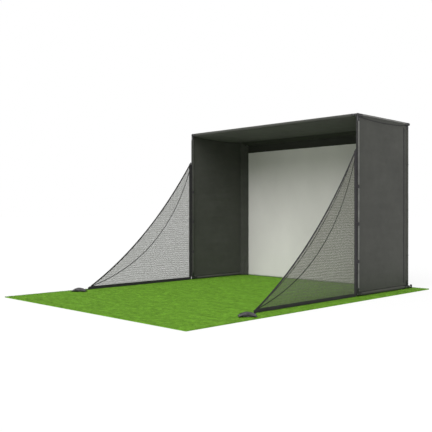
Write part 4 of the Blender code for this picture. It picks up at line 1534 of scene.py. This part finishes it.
class GOLFBAY_OT_sandbags(bpy.types.Operator):
    """Add the filled sandbags with their sewn rims and carry straps."""

    bl_idname = "golfbay.sandbags"
    bl_label = "Sandbags"

    def execute(self, context):
        colour = context.scene.golfbay_ground.sandbag_colour
        material = sandbag_material("sandbag_cloth", colour)
        tape = webbing_material("sandbag_webbing", shade(colour, 0.45))
        shell, rim = self.filled_shell()
        for side in SIDES:
            self.bag(side, shell, rim, material, tape)
        return {"FINISHED"}

    def filled_shell(self):
        """A flat bag that air pressure has filled, and the points along its rim in order."""
        length, width = 0.225, 0.158
        columns, rows = 34, 25
        shape = Shape()
        for top in (1, -1):

            def place(u, v, top=top):
                edge = min(hump(u, 0.5), hump(v, 0.5))
                return ((u - 0.5) * length, (v - 0.5) * width, top * 0.006 * edge)

            shape.grid(place, columns, rows, (length, width))
        mesh = shape.mesh("bag_blank", weld=1e-4)
        rim = [point.index for point in mesh.vertices if abs(point.co.z) < 1e-6]
        rim.sort(key=lambda index: math.atan2(*mesh.vertices[index].co.yx))
        inflate(mesh, pressure=5.0, frames=22)
        return mesh, rim

    def bag(self, side, shell, rim, material, tape):
        node = f"{side}_sandbag"
        low, high = map(Vector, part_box(node))
        mesh = shell.copy()
        points = np.empty(len(mesh.vertices) * 3)
        mesh.vertices.foreach_get("co", points)
        points = points.reshape(-1, 3)
        tall = high.z - low.z
        points[:, 2] *= tall / np.ptp(points[:, 2]) * 1.15
        if side == "left":
            points[:, :2] *= -1
        seed = 81 if side == "left" else 83
        floor = -tall * 0.42
        droop = 0.55 * tall * 0.5
        reach = abs(points[:, 0]).max()
        for point in points:
            slump = 1 + 0.07 * ripple(point, 9, seed)
            point[2] = point[2] * slump + 0.004 * ripple(point, 26, seed + 1, (1, 2, 0.6))
            point[2] -= droop * (abs(point[0]) / reach) ** 3
            if point[2] < floor:
                point[2] = floor + (point[2] - floor) * 0.1
        length, width = 0.222, 0.158
        points[:, 0] *= length / np.ptp(points[:, 0])
        points[:, 1] *= width / np.ptp(points[:, 1])
        rest = TURF_TOP + 0.0005 - points[:, 2].min()
        mesh.vertices.foreach_set("co", points.ravel())
        centre = (low + high) / 2
        turn = Matrix.Rotation(math.radians(45), 4, "Z")
        place = Matrix.Translation((centre.x, centre.y, rest)) @ turn
        mesh.transform(place)
        piece = add_piece(f"{node}_bag", mesh, node, material, (node,), sharp=180)
        rounding = piece.modifiers.new("rounding", "SUBSURF")
        rounding.levels = 1
        rounding.render_levels = 1
        self.trim(node, place, points, rim, tape)

    def trim(self, node, place, points, rim, tape):
        """A flat sewn rim all round, and a carry strap that lies along the top."""
        shape = Shape()
        around = [Vector(points[index]) for index in rim]
        outward = [Vector((p.x, p.y, 0)).normalized() * 0.004 for p in around]
        path = [place @ (p + out) for p, out in zip(around, outward)]
        shape.sweep(path, flat_section(0.011, 0.0024), Z_AXIS, loop=True)
        top = []
        reach = abs(points[:, 0]).max() * 0.86
        for i in range(41):
            x = (i / 20 - 1) * reach
            near = points[(abs(points[:, 1]) < 0.016) & (abs(points[:, 0] - x) < 0.009)]
            z = near[:, 2].max() if len(near) else 0.0
            top.append(place @ Vector((x, 0, z + 0.0018 + 0.004 * hump(i / 40, 3))))
        shape.sweep(top, flat_section(0.028, 0.0022), Z_AXIS)
        mesh = shape.mesh(f"{node}_trim")
        add_piece(f"{node}_trim", mesh, node, tape)


def inflate(mesh, pressure, frames):
    """Fill a closed cloth shell with air pressure and keep the result in the mesh."""
    blank = bpy.data.objects.new("blank", mesh)
    bpy.context.scene.collection.objects.link(blank)
    cloth = blank.modifiers.new("cloth", "CLOTH")
    cloth.settings.quality = 6
    cloth.settings.mass = 0.2
    cloth.settings.tension_stiffness = 20
    cloth.settings.compression_stiffness = 20
    cloth.settings.bending_stiffness = 0.4
    cloth.settings.use_pressure = True
    cloth.settings.uniform_pressure_force = pressure
    cloth.settings.effector_weights.gravity = 0
    cloth.point_cache.frame_end = frames
    scene = bpy.context.scene
    for step in range(1, frames + 1):
        scene.frame_set(step)
    graph = bpy.context.evaluated_depsgraph_get()
    result = blank.evaluated_get(graph).to_mesh()
    points = np.empty(len(result.vertices) * 3)
    result.vertices.foreach_get("co", points)
    mesh.vertices.foreach_set("co", points)
    scene.frame_set(1)
    bpy.data.objects.remove(blank, do_unlink=True)


# ---------------------------------------------------------------- turf


class GOLFBAY_OT_turf(bpy.types.Operator):
    """Add the turf mat: its backing, its mat of pile and its blades."""

    bl_idname = "golfbay.turf"
    bl_label = "Turf Mat"

    def execute(self, context):
        settings = context.scene.golfbay_ground
        low, high = map(Vector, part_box("turf_mat"))
        thatch = turf_material("turf_thatch", settings.pile_colour, 0.25)
        pile = turf_material("turf_pile", settings.pile_colour, 0.0)
        mat = self.mat(low, high, thatch)
        blades = self.blades(low, high, settings, pile)
        return {"FINISHED"}

    def mat(self, low, high, material):
        """The dense lower part of the pile on its backing."""
        shape = Shape()
        columns, rows = 150, 204
        top = high.z - 0.004

        def height(x, y):
            return top + 0.0012 * ripple((x, y, 0), 24, 91) + 0.0008 * ripple((x, y, 0), 70, 92)

        def surface(u, v):
            x, y = low.x + (high.x - low.x) * u, low.y + (high.y - low.y) * v
            return (x, y, height(x, y))

        shape.grid(surface, columns, rows, (4, 5.44))
        for v in (0, 1):
            shape.grid(lambda u, w, v=v: self.skirt(surface(u, v), w), columns, 1)
        for u in (0, 1):
            shape.grid(lambda v, w, u=u: self.skirt(surface(u, v), w), rows, 1)
        shape.grid(lambda u, v: (*surface(u, v)[:2], 0.0), columns, rows)
        mesh = shape.mesh("turf", weld=1e-5)
        piece = add_piece("turf_base", mesh, "frame", material, ("turf_mat",))
        piece.data.materials.append(backing_material("turf_backing"))
        for polygon in piece.data.polygons:
            if polygon.normal.z < -0.5:
                polygon.material_index = 1
        return piece

    def skirt(self, point, share):
        return (point[0], point[1], point[2] * share)

    def blades(self, low, high, settings, material):
        """Pointed blades over the whole mat, thicker along its edges."""
        rng = np.random.default_rng(17)
        count = settings.blades
        rim = count // 8
        margin, root_depth, spill = 0.001, 0.0075, 0.004
        x = rng.uniform(low.x, high.x, count)
        y = rng.uniform(low.y, high.y, count)
        side = rng.integers(0, 4, rim)
        inset = rng.exponential(0.006, rim)
        x[:rim] = np.where(side == 0, low.x + inset, np.where(side == 1, high.x - inset, x[:rim]))
        y[:rim] = np.where(side == 2, low.y + inset, np.where(side == 3, high.y - inset, y[:rim]))
        x = np.clip(x, low.x + margin, high.x - margin)
        y = np.clip(y, low.y + margin, high.y - margin)
        turn = rng.uniform(0, math.tau, count)
        half = rng.uniform(0.0016, 0.003, count)
        tall = settings.pile_height * rng.uniform(0.75, 1.15, count)
        lean = rng.normal(0, 0.0028, (count, 2))
        base = high.z - root_depth
        centre = np.stack([x, y, np.full(count, base)], axis=1)
        across = np.stack([np.cos(turn) * half, np.sin(turn) * half, np.zeros(count)], axis=1)
        tips = centre + np.stack([lean[:, 0], lean[:, 1], tall], axis=1)
        tips[:, 0] = np.clip(tips[:, 0], low.x - spill, high.x + spill)
        tips[:, 1] = np.clip(tips[:, 1], low.y - spill, high.y + spill)
        points = np.stack([centre - across, centre + across, tips], axis=1).reshape(-1, 3)
        mesh = bpy.data.meshes.new("turf_blades")
        mesh.vertices.add(3 * count)
        mesh.vertices.foreach_set("co", points.astype(np.float32).ravel())
        mesh.loops.add(3 * count)
        mesh.loops.foreach_set("vertex_index", np.arange(3 * count, dtype=np.int32))
        mesh.polygons.add(count)
        mesh.polygons.foreach_set("loop_start", np.arange(0, 3 * count, 3, dtype=np.int32))
        mesh.update(calc_edges=True)
        return add_piece("turf_blades", mesh, "frame", material, sharp=180)


# ---------------------------------------------------------------- stage


class GOLFBAY_OT_stage(bpy.types.Operator):
    """Add the camera, the pale floor and the soft studio light."""

    bl_idname = "golfbay.stage"
    bl_label = "Stage"

    def execute(self, context):
        scene = context.scene
        scene.view_settings.view_transform = "Standard"
        self.camera(scene)
        self.floor(scene)
        self.world(scene)
        self.sky_panel("front_light", (0.38, -1.0, 1.10), 62, 3.15)
        return {"FINISHED"}

    def camera(self, scene):
        data = bpy.data.cameras.new("camera")
        data.lens = 54.23
        data.sensor_width = 36
        data.clip_end = 300
        camera = bpy.data.objects.new("camera", data)
        camera.location = (7.092, -7.380, 1.244)
        camera.rotation_euler = (math.radians(90 - 0.158), 0, math.radians(44.891))
        scene.collection.objects.link(camera)
        scene.camera = camera

    def floor(self, scene):
        size, level = 400, -0.0015
        sheet = Shape().grid(lambda u, v: ((u - 0.5) * size, (v - 0.5) * size, level), 1, 1)
        mesh = sheet.mesh("floor")
        floor = bpy.data.objects.new("studio_floor", mesh)
        scene.collection.objects.link(floor)
        surface = Surface("studio_floor", shade(scene.golfbay_ground.floor_colour, 0.2), 0.9)
        surface.shader.inputs["Specular IOR Level"].default_value = 0.0
        surface.shader.inputs["Emission Color"].default_value = (1, 1, 1, 1)
        surface.shader.inputs["Emission Strength"].default_value = 0.8
        floor.data.materials.append(surface.material)

    def world(self, scene):
        """A white surround; it lights the enclosure less strongly than it shows."""
        world = bpy.data.worlds.new("studio")
        scene.world = world
        world.use_nodes = True
        nodes, links = world.node_tree.nodes, world.node_tree.links
        shown = nodes.new("ShaderNodeLightPath").outputs["Is Camera Ray"]
        strength = nodes.new("ShaderNodeMapRange")
        strength.inputs["To Min"].default_value = 0.42
        strength.inputs["To Max"].default_value = 1.0
        links.new(shown, strength.inputs["Value"])
        background = nodes["Background"]
        background.inputs["Color"].default_value = (1, 1, 1, 1)
        links.new(strength.outputs["Result"], background.inputs["Strength"])

    def sky_panel(self, name, toward, spread, strength):
        """A wide soft light, the same over the whole floor, coming from this direction."""
        light = bpy.data.lights.new(name, "SUN")
        light.angle = math.radians(spread)
        light.energy = strength
        lamp = bpy.data.objects.new(name, light)
        lamp.rotation_euler = Vector(toward).to_track_quat("Z", "Y").to_euler()
        bpy.context.scene.collection.objects.link(lamp)


# ---------------------------------------------------------------- panel and registration


PIECES = (
    GOLFBAY_OT_frame_tubes,
    GOLFBAY_OT_fittings,
    GOLFBAY_OT_rear_feet,
    GOLFBAY_OT_roof,
    GOLFBAY_OT_walls,
    GOLFBAY_OT_borders,
    GOLFBAY_OT_screen,
    GOLFBAY_OT_screen_ties,
    GOLFBAY_OT_side_nets,
    GOLFBAY_OT_sandbags,
    GOLFBAY_OT_turf,
    GOLFBAY_OT_stage,
)

SETTINGS = {
    "golfbay_cloth": GOLFBAY_PG_cloth,
    "golfbay_net": GOLFBAY_PG_net,
    "golfbay_frame": GOLFBAY_PG_frame,
    "golfbay_ground": GOLFBAY_PG_ground,
}


class GOLFBAY_PT_pieces(bpy.types.Panel):
    """Lists the settings and the operators that build each group of pieces."""

    bl_idname = "GOLFBAY_PT_pieces"
    bl_label = "Golf Practice Enclosure"
    bl_space_type = "VIEW_3D"
    bl_region_type = "UI"
    bl_category = "Golf Bay"

    def draw(self, context):
        layout = self.layout
        for name, group in SETTINGS.items():
            box = layout.box()
            settings = getattr(context.scene, name)
            for setting in group.__annotations__:
                box.prop(settings, setting)
        for piece in PIECES:
            layout.operator(piece.bl_idname)


def register():
    for group in (*SETTINGS.values(), *PIECES, GOLFBAY_PT_pieces):
        bpy.utils.register_class(group)
    for name, group in SETTINGS.items():
        setattr(bpy.types.Scene, name, bpy.props.PointerProperty(type=group))


def unregister():
    for name in SETTINGS:
        delattr(bpy.types.Scene, name)
    for group in reversed((*SETTINGS.values(), *PIECES, GOLFBAY_PT_pieces)):
        bpy.utils.unregister_class(group)


def main():
    register()
    for piece in PIECES:
        group, name = piece.bl_idname.split(".")
        getattr(getattr(bpy.ops, group), name)()


if __name__ == "__main__":
    main()
